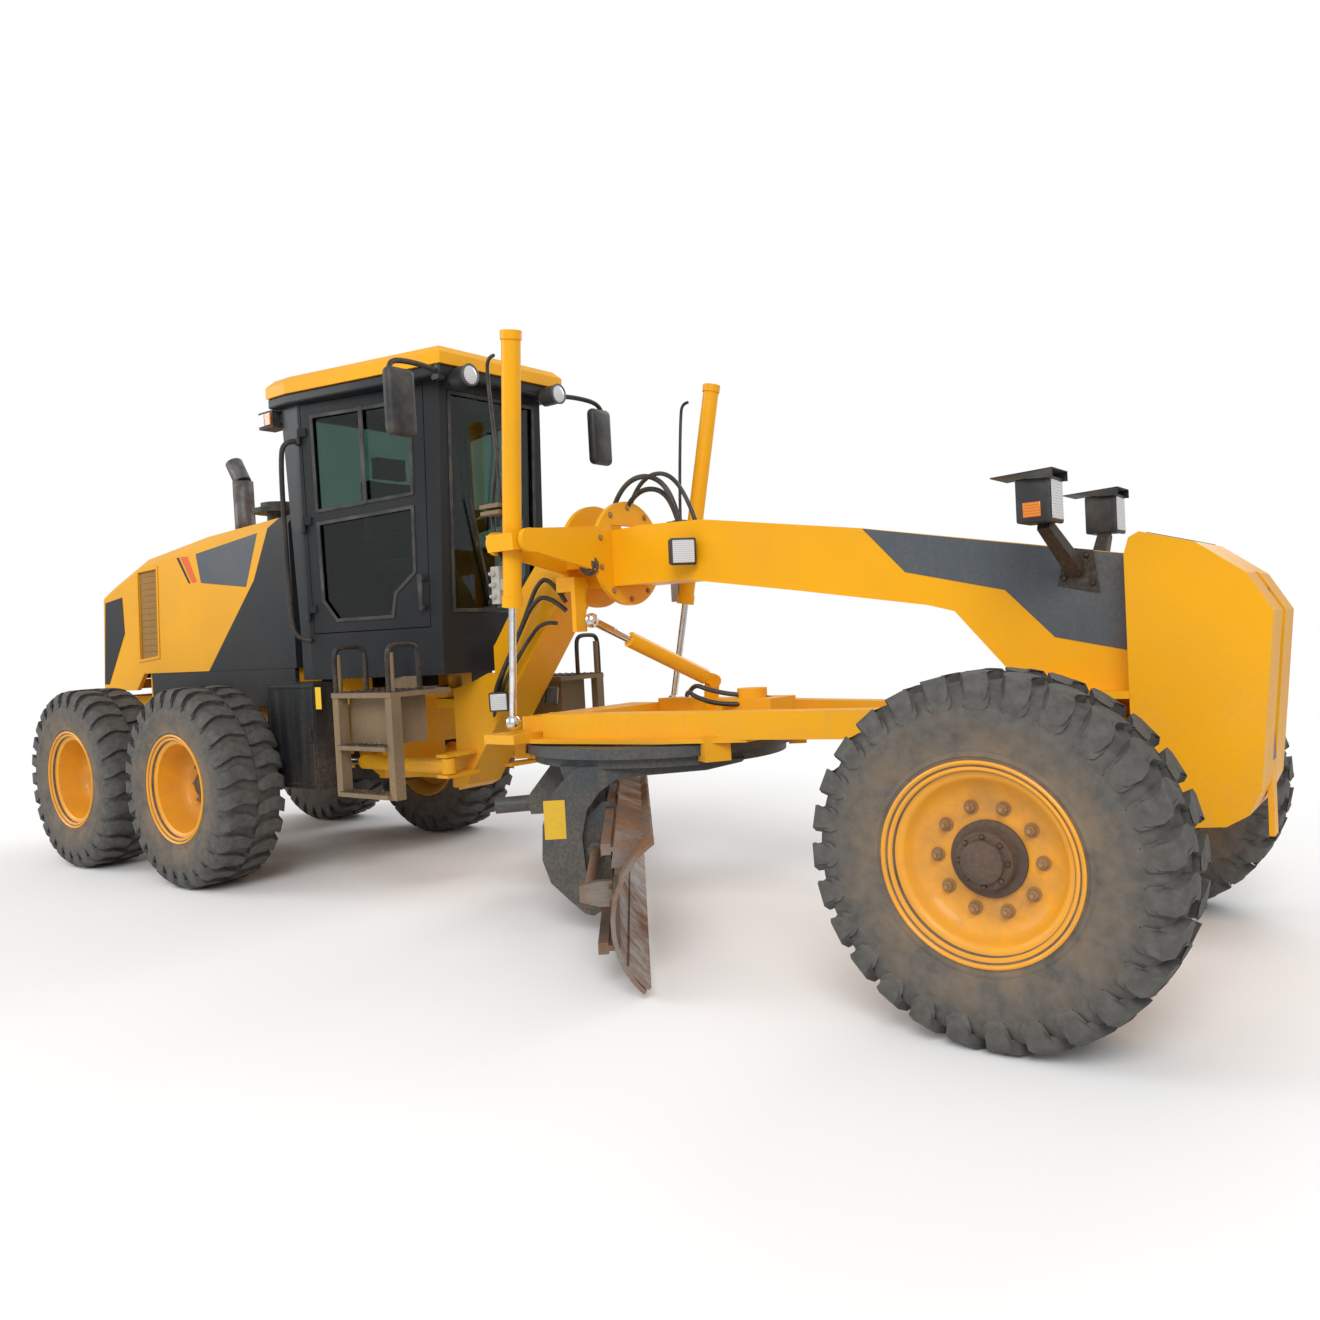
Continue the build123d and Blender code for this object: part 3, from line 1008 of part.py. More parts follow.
# Tilt cylinder
TILT_BARREL_BACK = 240
TILT_BARREL_FRONT = 170
TILT_ROD_LENGTH = 560
tilt_trunnion = blade_point(TRUNNION_N, 0, TILT_TRUNNION_Z)
tilt_eye = blade_point(TILT_EYE_N, 0, TILT_EYE_Z)
with BuildPart() as tilt_barrel:
    bar(between(tilt_trunnion, tilt_eye, -TILT_BARREL_BACK),
        between(tilt_trunnion, tilt_eye, TILT_BARREL_FRONT), 46)
    bar(blade_point(TRUNNION_N, -TRUNNION_T[1], TILT_TRUNNION_Z),
        blade_point(TRUNNION_N, TRUNNION_T[1], TILT_TRUNNION_Z),
        TRUNNION_PIN_RADIUS)
    bar(between(tilt_trunnion, tilt_eye, 20 - TILT_BARREL_BACK),
        between(tilt_trunnion, tilt_eye, TILT_BARREL_FRONT + 20),
        22 + RUNNING_FIT, mode=Mode.SUBTRACT)
finish(tilt_barrel, "tilt_barrel")

with BuildPart() as tilt_rod:
    bar(tilt_eye, between(tilt_eye, tilt_trunnion, TILT_ROD_LENGTH), 22)
    bar(blade_point(TILT_EYE_N, -30, TILT_EYE_Z), blade_point(TILT_EYE_N, 30, TILT_EYE_Z), 36)
finish(tilt_rod, "tilt_rod")

# Lift ring round the beam, with its two pairs of ears
EAR_HALF_HEIGHT = 62
RING_PLATE = 30
SHIFT_PLATE_X = ahead(-2645)
with BuildPart() as lift_ring:
    for x in (RING_FRONT_X, RING_REAR_X):
        with BuildSketch(Plane(origin=(x, 0, 0), x_dir=(0, 1, 0), z_dir=(1, 0, 0))) as ring_plate:
            with Locations((0, RING_Z)):
                Circle(RING_RADIUS)
            for side in (-1, 1):
                Polygon((side * 200, RING_Z + 150),
                    (side * (TRUNNION_Y - 40), TRUNNION_Z + EAR_HALF_HEIGHT),
                        (side * TRUNNION_Y, TRUNNION_Z + EAR_HALF_HEIGHT), (side * TRUNNION_Y,
                            TRUNNION_Z - EAR_HALF_HEIGHT),
                        (side * (TRUNNION_Y - 40), TRUNNION_Z - EAR_HALF_HEIGHT), (side * 200,
                            RING_Z - 120), align=None)
                with Locations((side * TRUNNION_Y, TRUNNION_Z)):
                    Circle(EAR_HALF_HEIGHT)
        extrude(ring_plate.sketch, amount=RING_PLATE / 2, both=True)
    for side in (-1, 1):
        for y, z in ((255, RING_Z + 60), (255, RING_Z - 60)):
            block((RING_REAR_X, side * y - 22, z - 22), (RING_FRONT_X, side * y + 22, z + 22))
        bar((RING_REAR_X - 40, side * TRUNNION_Y, TRUNNION_Z),
            (RING_FRONT_X + 40, side * TRUNNION_Y, TRUNNION_Z),
            TRUNNION_PIN_RADIUS + RUNNING_FIT, mode=Mode.SUBTRACT)
    block((SHIFT_PLATE_X, -345, 1560), (SHIFT_PLATE_X + 30, -255, 1870))
    block((RING_REAR_X - RING_PLATE / 2, -345, 1790), (SHIFT_PLATE_X + 30, -235, 1870))
    block((ahead(-2800), -BEAM_HALF_WIDTH - SEAT_GAP, BEAM_BOTTOM_Z - SEAT_GAP),
          (ahead(-2400), BEAM_HALF_WIDTH + SEAT_GAP, 2160), mode=Mode.SUBTRACT)
finish(lift_ring, "lift_ring")

# Lift cylinders: yoke, barrel, rod
YOKE_HALF_X = 95
YOKE_CHEEK = (62, 92)
for side, name in ((-1, "right"), (1, "left")):
    trunnion = (TRUNNION_X, side * TRUNNION_Y, TRUNNION_Z)
    rod_ball = (LIFT_BALL_X, side * LIFT_BALL_Y, LIFT_BALL_Z)
    run = Vector(*trunnion) - Vector(*rod_ball)
    cross_axis = Vector(0, run.Z, -run.Y).normalized()
    up_axis = Vector(1, 0, 0).cross(cross_axis)
    yoke_plane = Plane(origin=trunnion, x_dir=(1, 0, 0), z_dir=up_axis)
    with BuildPart() as lift_yoke:
        with Locations(yoke_plane):
            Box(2 * YOKE_HALF_X, 2 * YOKE_CHEEK[1], 90)
            Box(2 * YOKE_CHEEK[0], 2 * YOKE_CHEEK[0], 92, mode=Mode.SUBTRACT)
        for end in (-1, 1):
            bar((TRUNNION_X + end * (YOKE_HALF_X - 15), trunnion[1], TRUNNION_Z),
                (TRUNNION_X + end * (RING_FRONT_X - TRUNNION_X + 15), trunnion[1],
                    TRUNNION_Z), TRUNNION_PIN_RADIUS)
        low = Vector(*trunnion) - cross_axis * 100
        high = Vector(*trunnion) + cross_axis * 100
        bar(tuple(low), tuple(high), TRUNNION_PIN_RADIUS + RUNNING_FIT, mode=Mode.SUBTRACT)
    finish(lift_yoke, f"lift_yoke_{name}")

    below = (TRUNNION_Z - LIFT_GLAND_Z) * run.length / run.Z
    above = (LIFT_TOP_Z - TRUNNION_Z) * run.length / run.Z
    gland = between(trunnion, rod_ball, below)
    top = between(trunnion, rod_ball, -above)
    with BuildPart() as lift_barrel:
        bar(gland, top, LIFT_BARREL_RADIUS)
        bar(gland, between(gland, top, 60), LIFT_BARREL_RADIUS + 6)
        bar(between(top, gland, 45), top, LIFT_BARREL_RADIUS + 6)
        for end in (-1, 1):
            bar(tuple(Vector(*trunnion) + cross_axis * end * 40),
                tuple(Vector(*trunnion) + cross_axis * end * YOKE_CHEEK[1]),
                TRUNNION_PIN_RADIUS)
        bar(gland, between(gland, top, 60), LIFT_ROD_RADIUS + RUNNING_FIT, mode=Mode.SUBTRACT)
        bar(between(gland, top, 60), between(top, gland, 40), LIFT_BORE_RADIUS, mode=Mode.SUBTRACT)
    finish(lift_barrel, f"lift_barrel_{name}")

    with BuildPart() as lift_rod:
        ball(rod_ball, LIFT_HEAD_RADIUS)
        bar(rod_ball, between(rod_ball, trunnion, LIFT_ROD_LENGTH), LIFT_ROD_RADIUS)
        bar(between(rod_ball, trunnion, LIFT_ROD_LENGTH - 60),
            between(rod_ball, trunnion, LIFT_ROD_LENGTH),
            LIFT_BORE_RADIUS - 0.1)
    finish(lift_rod, f"lift_rod_{name}")

# Drawbar shift cylinder
SHIFT_BARREL_LENGTH = 625
SHIFT_ROD_LENGTH = 615
with BuildPart() as shift_barrel:
    bar(between(SHIFT_LUG, SHIFT_EYE, 55), between(SHIFT_LUG, SHIFT_EYE, SHIFT_BARREL_LENGTH), 46)
    for end in (-1, 1):
        cheek = Vector(*SHIFT_LUG) + shift_axis * end * (SHIFT_LUG_THICKNESS / 2 + 2)
        outer = Vector(*SHIFT_LUG) + shift_axis * end * (SHIFT_LUG_THICKNESS / 2 + 24)
        bar(tuple(cheek), tuple(outer), 40)
        base_plane = Plane(origin=cheek, x_dir=shift_run, z_dir=shift_axis * end)
        with BuildSketch(base_plane) as strap:
            with Locations((45, 0)):
                Rectangle(90, 60)
        extrude(strap.sketch, amount=22)
    bar(tuple(Vector(*SHIFT_LUG) - shift_axis * 39), tuple(Vector(*SHIFT_LUG) + shift_axis * 39),
        SHIFT_PIN_RADIUS)
    bar(between(SHIFT_LUG, SHIFT_EYE, 80), between(SHIFT_LUG, SHIFT_EYE, SHIFT_BARREL_LENGTH + 20),
        24 + RUNNING_FIT,
        mode=Mode.SUBTRACT)
finish(shift_barrel, "shift_barrel")

with BuildPart() as shift_rod:
    ball(SHIFT_EYE, 42)
    bar(SHIFT_EYE, between(SHIFT_EYE, SHIFT_LUG, SHIFT_ROD_LENGTH), 24)
finish(shift_rod, "shift_rod")

# Articulation cylinders
ARTIC_BARREL_LENGTH = 850
ARTIC_ROD_LENGTH = 760
ARTIC_EYE_HALF = 30
for side, name in ((-1, "right"), (1, "left")):
    pin = (ARTIC_FRONT_X, side * ARTIC_PIN_Y, ARTIC_PIN_Z)
    eye = (ARTIC_REAR_X, side * ARTIC_PIN_Y, ARTIC_PIN_Z)
    with BuildPart() as articulation_barrel:
        bar((pin[0], pin[1], pin[2] - 48), (pin[0], pin[1], pin[2] + 48), 46)
        bar(pin, between(pin, eye, ARTIC_BARREL_LENGTH), 48)
        bar(between(pin, eye, 70), between(pin, eye, ARTIC_BARREL_LENGTH + 10), 22 + RUNNING_FIT,
            mode=Mode.SUBTRACT)
        bar((pin[0], pin[1], pin[2] - 50), (pin[0], pin[1], pin[2] + 50), 25 + RUNNING_FIT,
            mode=Mode.SUBTRACT)
    finish(articulation_barrel, f"articulation_barrel_{name}")
    with BuildPart() as articulation_rod:
        bar(eye, between(eye, pin, ARTIC_ROD_LENGTH), 22)
        bar((eye[0], eye[1], eye[2] - ARTIC_EYE_HALF), (eye[0], eye[1], eye[2] + ARTIC_EYE_HALF), 44)
    finish(articulation_rod, f"articulation_rod_{name}")
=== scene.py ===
import json
import math

import bmesh
import bpy
from mathutils import Matrix, Vector


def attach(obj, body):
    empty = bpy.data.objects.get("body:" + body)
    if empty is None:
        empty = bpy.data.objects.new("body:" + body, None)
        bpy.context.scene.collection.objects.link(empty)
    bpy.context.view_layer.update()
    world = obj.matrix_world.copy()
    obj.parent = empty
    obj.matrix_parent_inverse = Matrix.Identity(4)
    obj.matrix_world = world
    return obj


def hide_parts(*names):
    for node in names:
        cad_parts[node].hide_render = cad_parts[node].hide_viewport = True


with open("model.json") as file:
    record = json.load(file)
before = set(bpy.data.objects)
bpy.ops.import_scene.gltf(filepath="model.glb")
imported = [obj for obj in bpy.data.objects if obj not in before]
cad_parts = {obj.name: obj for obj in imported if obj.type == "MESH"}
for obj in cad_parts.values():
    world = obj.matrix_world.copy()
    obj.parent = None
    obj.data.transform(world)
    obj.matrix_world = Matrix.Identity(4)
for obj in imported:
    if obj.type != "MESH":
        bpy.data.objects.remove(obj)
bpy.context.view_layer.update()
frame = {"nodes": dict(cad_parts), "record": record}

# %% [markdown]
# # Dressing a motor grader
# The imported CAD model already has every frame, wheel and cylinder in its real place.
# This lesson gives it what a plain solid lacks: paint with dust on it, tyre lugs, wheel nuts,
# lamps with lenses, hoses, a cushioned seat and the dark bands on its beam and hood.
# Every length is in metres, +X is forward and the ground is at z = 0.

FRONT_AXLE_X = 3.55
MID_AXLE_BEHIND, REAR_AXLE_BEHIND = 5.44, 6.96
WHEEL_Z = 0.668
WHEEL_Y = 1.05
AXLE_X = {"front": FRONT_AXLE_X, "mid": FRONT_AXLE_X - MID_AXLE_BEHIND,
          "rear": FRONT_AXLE_X - REAR_AXLE_BEHIND}

# %% [markdown]
# ## The camera
# A grader is photographed from beside its front wheel, so the lens is fairly wide and stands close.
# The camera is placed from its three axes, because a photograph taken by hand also leans a little.

# %% Camera beside the front wheel
def aim_camera(place, yaw, pitch, roll, lens):
    forward = Vector((-math.sin(yaw) * math.cos(pitch), math.cos(yaw) * math.cos(pitch), math.sin(pitch)))
    right = Vector((math.cos(yaw), math.sin(yaw), 0))
    up = right.cross(forward)
    leaned_right = right * math.cos(roll) + up * math.sin(roll)
    leaned_up = up * math.cos(roll) - right * math.sin(roll)
    lens_data = bpy.data.cameras.new("photo_view")
    lens_data.lens = lens
    lens_data.sensor_width = 36.0
    lens_data.clip_end = 200
    camera = bpy.data.objects.new("photo_view", lens_data)
    bpy.context.scene.collection.objects.link(camera)
    turn = Matrix((leaned_right, leaned_up, -forward)).transposed().to_4x4()
    camera.matrix_world = Matrix.Translation(place) @ turn
    bpy.context.scene.camera = camera


aim_camera(place=Vector((4.9223, -4.770, 1.521)), yaw=0.6563, pitch=-0.0241, roll=-0.0527, lens=28.754)
bpy.context.scene.view_settings.view_transform = "Standard"

# %% [markdown]
# ## Floor and light
# A cut-out picture has a white ground and no hard shadow. A pale floor under a pale sky gives both,
# and three large, soft lamps keep the yellow as bright as it is painted.

# %% Pale floor, pale sky and three soft lamps
def pale_floor():
    mesh = bpy.data.meshes.new("floor")
    shape = bmesh.new()
    bmesh.ops.create_grid(shape, x_segments=1, y_segments=1, size=60)
    shape.to_mesh(mesh)
    shape.free()
    floor = bpy.data.objects.new("floor", mesh)
    bpy.context.scene.collection.objects.link(floor)
    chalk = bpy.data.materials.new("floor_chalk")
    chalk.use_nodes = True
    tree = chalk.node_tree
    ground = tree.nodes["Principled BSDF"]
    ground.inputs["Base Color"].default_value = (0.92, 0.92, 0.92, 1)
    ground.inputs["Roughness"].default_value = 1.0
    ground.inputs["Specular IOR Level"].default_value = 0.0
    metres = tree.nodes.new("ShaderNodeTexCoord")
    distance = tree.nodes.new("ShaderNodeVectorMath")
    distance.operation = "LENGTH"
    tree.links.new(metres.outputs["Object"], distance.inputs[0])
    fade = tree.nodes.new("ShaderNodeMapRange")
    fade.inputs["From Min"].default_value = 5.0
    fade.inputs["From Max"].default_value = 9.0
    tree.links.new(distance.outputs["Value"], fade.inputs["Value"])
    clear = tree.nodes.new("ShaderNodeBsdfTransparent")
    mix = tree.nodes.new("ShaderNodeMixShader")
    tree.links.new(fade.outputs["Result"], mix.inputs[0])
    tree.links.new(ground.outputs[0], mix.inputs[1])
    tree.links.new(clear.outputs[0], mix.inputs[2])
    tree.links.new(mix.outputs[0], tree.nodes["Material Output"].inputs["Surface"])
    mesh.materials.append(chalk)


def soft_lamp(name, place, target, size, power):
    light = bpy.data.lights.new(name, "AREA")
    light.shape = "DISK"
    light.size = size
    light.energy = power
    lamp = bpy.data.objects.new(name, light)
    bpy.context.scene.collection.objects.link(lamp)
    lamp.location = place
    lamp.rotation_euler = (Vector(target) - Vector(place)).to_track_quat("-Z", "Y").to_euler()


def pale_sky():
    world = bpy.data.worlds.new("pale_sky")
    bpy.context.scene.world = world
    world.use_nodes = True
    tree = world.node_tree
    sky = tree.nodes["Background"]
    sky.inputs["Color"].default_value = (1, 1, 1, 1)
    sky.inputs["Strength"].default_value = 0.62
    seen = tree.nodes.new("ShaderNodeBackground")
    seen.inputs["Color"].default_value = (1, 1, 1, 1)
    seen.inputs["Strength"].default_value = 1.0
    rays = tree.nodes.new("ShaderNodeLightPath")
    mix = tree.nodes.new("ShaderNodeMixShader")
    tree.links.new(rays.outputs["Is Camera Ray"], mix.inputs[0])
    tree.links.new(sky.outputs[0], mix.inputs[1])
    tree.links.new(seen.outputs[0], mix.inputs[2])
    tree.links.new(mix.outputs[0], tree.nodes["World Output"].inputs["Surface"])


pale_floor()
pale_sky()
soft_lamp("key_lamp", (9, -12, 11), (0, 0, 1), 9, 1500)
soft_lamp("fill_lamp", (-12, -9, 8), (-1, 0, 1), 9, 750)
soft_lamp("back_lamp", (2, 14, 10), (0, 0, 1), 9, 900)

# %% [markdown]
# ## Paint with dust on it
# Machine paint is a smooth coloured coat. Dust lies in soft clouds, thickest low down, and rain
# pulls it into upright streaks, so one material mixes the paint with dust by cloud noise, streak
# noise and height. All patterns read object coordinates, which here are the machine's own metres.

# %% Helpers for node materials
def new_finish(name, roughness, metallic=0.0, coat=0.0):
    """A material with its node tree, its surface shader and its coordinates in metres."""
    finish = bpy.data.materials.new(name)
    finish.use_nodes = True
    surface = finish.node_tree.nodes["Principled BSDF"]
    surface.inputs["Roughness"].default_value = roughness
    surface.inputs["Metallic"].default_value = metallic
    surface.inputs["Coat Weight"].default_value = coat
    return finish, finish.node_tree, surface, placed_coordinates(finish.node_tree)


def add_node(tree, kind, **values):
    """A shader node with its sockets set; an underscore in a keyword stands for a space."""
    node = tree.nodes.new("ShaderNode" + kind)
    for socket, value in values.items():
        node.inputs[socket.replace("_", " ")].default_value = value
    return node


def placed_coordinates(tree, place=(0, 0, 0), stretch=(1, 1, 1)):
    metres = tree.nodes.new("ShaderNodeTexCoord")
    mapping = add_node(tree, "Mapping", Location=place, Scale=stretch)
    tree.links.new(metres.outputs["Object"], mapping.inputs["Vector"])
    return mapping.outputs["Vector"]


def cloud(tree, vector, scale, detail=4, rough=0.6):
    noise = add_node(tree, "TexNoise", Scale=scale, Detail=detail, Roughness=rough)
    tree.links.new(vector, noise.inputs["Vector"])
    return noise.outputs["Fac"]


def spread(tree, value, low, high, to_low=0.0, to_high=1.0):
    reach = add_node(tree, "MapRange", From_Min=low, From_Max=high, To_Min=to_low, To_Max=to_high)
    tree.links.new(value, reach.inputs["Value"])
    return reach.outputs["Result"]


def combine(tree, operation, a, b):
    node = tree.nodes.new("ShaderNodeMath")
    node.operation = operation
    for value, socket in ((a, node.inputs[0]), (b, node.inputs[1])):
        if isinstance(value, (int, float)):
            socket.default_value = value
        else:
            tree.links.new(value, socket)
    return node.outputs[0]


def blend_colours(tree, amount, first, second):
    mix = tree.nodes.new("ShaderNodeMix")
    mix.data_type = "RGBA"
    tree.links.new(amount, mix.inputs["Factor"])
    for value, socket in ((first, mix.inputs["A"]), (second, mix.inputs["B"])):
        if isinstance(value, tuple):
            socket.default_value = (*value, 1)
        else:
            tree.links.new(value, socket)
    return mix.outputs["Result"]


def tint(tree, surface, amount, first, second):
    tree.links.new(blend_colours(tree, amount, first, second), surface.inputs["Base Color"])


def roughen(tree, surface, value, low, high, smooth, rough):
    tree.links.new(spread(tree, value, low, high, smooth, rough), surface.inputs["Roughness"])


def add_relief(tree, surface, height, strength, distance):
    bump = add_node(tree, "Bump", Strength=strength, Distance=distance)
    tree.links.new(height, bump.inputs["Height"])
    tree.links.new(bump.outputs["Normal"], surface.inputs["Normal"])


# %% Dusty paint
DUST = (0.40, 0.27, 0.15)
PAINT_SHINE = 0.22
FADE, FADE_LIFT = 0.86, 0.01


def dusty_paint(name, colour, roughness=0.38, dust_low=0.75, dust_high=0.12, coat=0.06, dust=DUST,
                reach=(0.3, 1.5)):
    """Paint under dust that thins from dust_low to dust_high between the two heights of reach."""
    paint, tree, surface, metres = new_finish(name, roughness, coat=coat)
    surface.inputs["Specular IOR Level"].default_value = PAINT_SHINE
    upright = placed_coordinates(tree, stretch=(7, 7, 0.5))
    clouds = spread(tree, cloud(tree, metres, 2.2, 6), 0.38, 0.68)
    streaks = spread(tree, cloud(tree, upright, 2.0, 5), 0.45, 0.72)
    grit = spread(tree, cloud(tree, metres, 60, 3), 0.42, 0.62, 0.35, 1.0)
    parts = tree.nodes.new("ShaderNodeSeparateXYZ")
    tree.links.new(metres, parts.inputs[0])
    low = spread(tree, parts.outputs["Z"], reach[0], reach[1], dust_low, dust_high)
    cover = combine(tree, "MULTIPLY", combine(tree, "MAXIMUM", clouds, streaks), grit)
    amount = combine(tree, "MULTIPLY", cover, low)
    faded = tuple(min(1.0, c * FADE + FADE_LIFT) for c in colour)
    tone = blend_colours(tree, spread(tree, cloud(tree, metres, 0.9, 3), 0.35, 0.65), colour, faded)
    tint(tree, surface, amount, tone, dust)
    roughen(tree, surface, amount, 0, 0.6, roughness, 0.85)
    add_relief(tree, surface, cloud(tree, metres, 160, 2), 0.05, 0.002)
    return paint


machine_yellow = dusty_paint("machine_yellow", (0.90, 0.415, 0.002), dust_low=0.55, dust_high=0.03)
cab_grey = dusty_paint("cab_dark_grey", (0.013, 0.016, 0.020), 0.38, 0.35, 0.03, coat=0.05)
slate_paint = dusty_paint("slate_steel_paint", (0.052, 0.068, 0.080), 0.42, 0.45, 0.10, coat=0.05)
under_steel = dusty_paint("under_steel", (0.030, 0.031, 0.033), 0.5, 0.6, 0.22, coat=0.0)
print("paints", len(bpy.data.materials))

# %% [markdown]
# ## Bare steel, rubber, plastic and glass
# The blade is scoured by gravel along one direction and rusts between jobs. A cylinder's rod is
# hard chrome. Tyre rubber is grey with use and brown where mud dried on the side wall, which
# is why its pattern needs the distance from the wheel's own axle.

# %% Scoured blade steel
def scoured_steel():
    steel, tree, surface, metres = new_finish("scoured_blade_steel", 0.4, metallic=0.55)
    along = placed_coordinates(tree, stretch=(1.0, 1.0, 14))
    rust = spread(tree, cloud(tree, metres, 5.0, 8, 0.7), 0.40, 0.62)
    scratches = cloud(tree, along, 9, 6, 0.75)
    bare = blend_colours(tree, scratches, (0.36, 0.31, 0.27), (0.12, 0.10, 0.09))
    tint(tree, surface, rust, bare, (0.24, 0.115, 0.055))
    roughen(tree, surface, rust, 0, 1, 0.32, 0.85)
    add_relief(tree, surface, scratches, 0.25, 0.003)
    return steel


blade_steel = scoured_steel()


# %% Chrome rod and tailpipe
def chrome_finish():
    chrome, tree, surface, metres = new_finish("rod_chrome", 0.12, metallic=1.0)
    film = spread(tree, cloud(tree, metres, 18, 5), 0.45, 0.75, 0, 0.5)
    tint(tree, surface, film, (0.78, 0.78, 0.79), (0.42, 0.36, 0.28))
    roughen(tree, surface, film, 0, 0.5, 0.1, 0.4)
    return chrome


def pipe_finish():
    pipe, tree, surface, metres = new_finish("tailpipe_steel", 0.45, metallic=0.6)
    stain = spread(tree, cloud(tree, metres, 9, 6), 0.35, 0.7)
    tint(tree, surface, stain, (0.16, 0.16, 0.165), (0.07, 0.052, 0.04))
    roughen(tree, surface, stain, 0, 1, 0.4, 0.75)
    return pipe


rod_chrome = chrome_finish()
tailpipe = pipe_finish()


# %% Tyre rubber and rim paint around an axle
def round_distance(tree, axle_x):
    centred = placed_coordinates(tree, place=(-axle_x, 0, -WHEEL_Z), stretch=(1, 0, 1))
    length = tree.nodes.new("ShaderNodeVectorMath")
    length.operation = "LENGTH"
    tree.links.new(centred, length.inputs[0])
    return length.outputs["Value"]


def tyre_rubber(name, axle_x):
    rubber, tree, surface, metres = new_finish(name, 0.8)
    radius = round_distance(tree, axle_x)
    ring = spread(tree, radius, 0.34, 0.58, 1.0, 0.0)
    clouds = spread(tree, cloud(tree, metres, 7, 7, 0.65), 0.30, 0.62)
    worn = spread(tree, cloud(tree, metres, 22, 5), 0.3, 0.7)
    rub = blend_colours(tree, worn, (0.050, 0.050, 0.048), (0.105, 0.105, 0.10))
    cast = combine(tree, "MULTIPLY", combine(tree, "ADD", ring, 0.12), clouds)
    tint(tree, surface, cast, rub, (0.20, 0.145, 0.095))
    add_relief(tree, surface, cloud(tree, metres, 90, 6), 0.35, 0.004)
    return rubber


def wheel_paint(name, axle_x):
    paint, tree, surface, metres = new_finish(name, 0.45, coat=0.15)
    radius = round_distance(tree, axle_x)
    deep = spread(tree, radius, 0.18, 0.30, 0.85, 0.25)
    clouds = spread(tree, cloud(tree, metres, 6, 7, 0.62), 0.33, 0.68)
    amount = combine(tree, "MULTIPLY", deep, clouds)
    tint(tree, surface, amount, (0.86, 0.37, 0.012), (0.36, 0.19, 0.085))
    roughen(tree, surface, amount, 0, 0.6, 0.42, 0.85)
    add_relief(tree, surface, cloud(tree, metres, 70, 4), 0.12, 0.003)
    return paint


rubber_of = {axle: tyre_rubber(f"tyre_rubber_{axle}", x) for axle, x in AXLE_X.items()}
rim_paint_of = {axle: wheel_paint(f"rim_paint_{axle}", x) for axle, x in AXLE_X.items()}


# %% Glass, lenses, plastic and cloth
def clear_glass(name, colour, roughness=0.02):
    glass, tree, surface, metres = new_finish(name, roughness)
    surface.inputs["Transmission Weight"].default_value = 1.0
    surface.inputs["IOR"].default_value = 1.45
    film = spread(tree, cloud(tree, metres, 3.5, 6), 0.40, 0.80, 0.0, 0.35)
    dim = tuple(c * 0.55 for c in colour)
    tint(tree, surface, film, colour, dim)
    return glass


def moulded_plastic(name, colour, roughness=0.55):
    plastic, tree, surface, metres = new_finish(name, roughness)
    film = spread(tree, cloud(tree, metres, 6, 5), 0.42, 0.75, 0, 0.35)
    tint(tree, surface, film, colour, (0.20, 0.17, 0.13))
    add_relief(tree, surface, cloud(tree, metres, 420, 2), 0.12, 0.001)
    return plastic


def lamp_lens(name, colour):
    lens, tree, surface, metres = new_finish(name, 0.08)
    surface.inputs["Coat Weight"].default_value = 0.8
    ribs = add_node(tree, "TexWave", Scale=28)
    ribs.bands_direction = "Z"
    tree.links.new(metres, ribs.inputs["Vector"])
    dark = tuple(c * 0.7 for c in colour)
    tint(tree, surface, ribs.outputs["Fac"], dark, colour)
    return lens


def woven_cloth():
    cloth, tree, surface, metres = new_finish("seat_cloth", 0.92)
    surface.inputs["Sheen Weight"].default_value = 0.4
    weave = add_node(tree, "TexChecker", Scale=380)
    tree.links.new(metres, weave.inputs["Vector"])
    tint(tree, surface, weave.outputs["Fac"], (0.030, 0.032, 0.034), (0.055, 0.058, 0.06))
    add_relief(tree, surface, weave.outputs["Fac"], 0.3, 0.001)
    return cloth


cab_window = clear_glass("cab_window", (0.24, 0.37, 0.33))
black_plastic = moulded_plastic("black_plastic", (0.018, 0.018, 0.020))
grey_plastic = moulded_plastic("grey_plastic", (0.085, 0.088, 0.092))
hose_rubber = moulded_plastic("hose_rubber", (0.012, 0.012, 0.013), 0.45)
white_lens = lamp_lens("white_lens", (0.72, 0.74, 0.76))
amber_lens = lamp_lens("amber_lens", (0.80, 0.22, 0.01))
red_lens = lamp_lens("red_lens", (0.45, 0.010, 0.008))
seat_cloth = woven_cloth()

# %% [markdown]
# ## Finishes for the CAD nodes
# Each CAD node's material slot says what it is made of, so one table from slot to finish dresses
# them all. The wheels are the exception, because their pattern is centred on their own axle.

# %% One finish for each slot
finish_of = {
    "yellow_paint": machine_yellow, "dark_paint": cab_grey, "steel_grey": slate_paint,
    "blade_steel": blade_steel, "chrome_rod": rod_chrome, "cab_window": cab_window,
    "black_plastic": black_plastic, "seat_cloth": seat_cloth, "lamp_housing": grey_plastic,
    "exhaust_steel": tailpipe,
}
slot_of = {row["node"]: row["material_slot"] for row in frame["record"]["subparts"]}


def dress(node, finish):
    mesh = frame["nodes"][node].data
    if not mesh.materials:
        mesh.materials.append(finish)
    for place in range(len(mesh.materials)):
        mesh.materials[place] = finish


for node, slot in slot_of.items():
    axle = node.split("_")[1] if node.startswith(("rim_", "tyre_")) else None
    if axle:
        dress(node, (rim_paint_of if node.startswith("rim_") else rubber_of)[axle])
    else:
        dress(node, finish_of[slot])
for node in ("drive_axle", "engine"):
    dress(node, under_steel)
print("dressed", len(slot_of), "nodes")
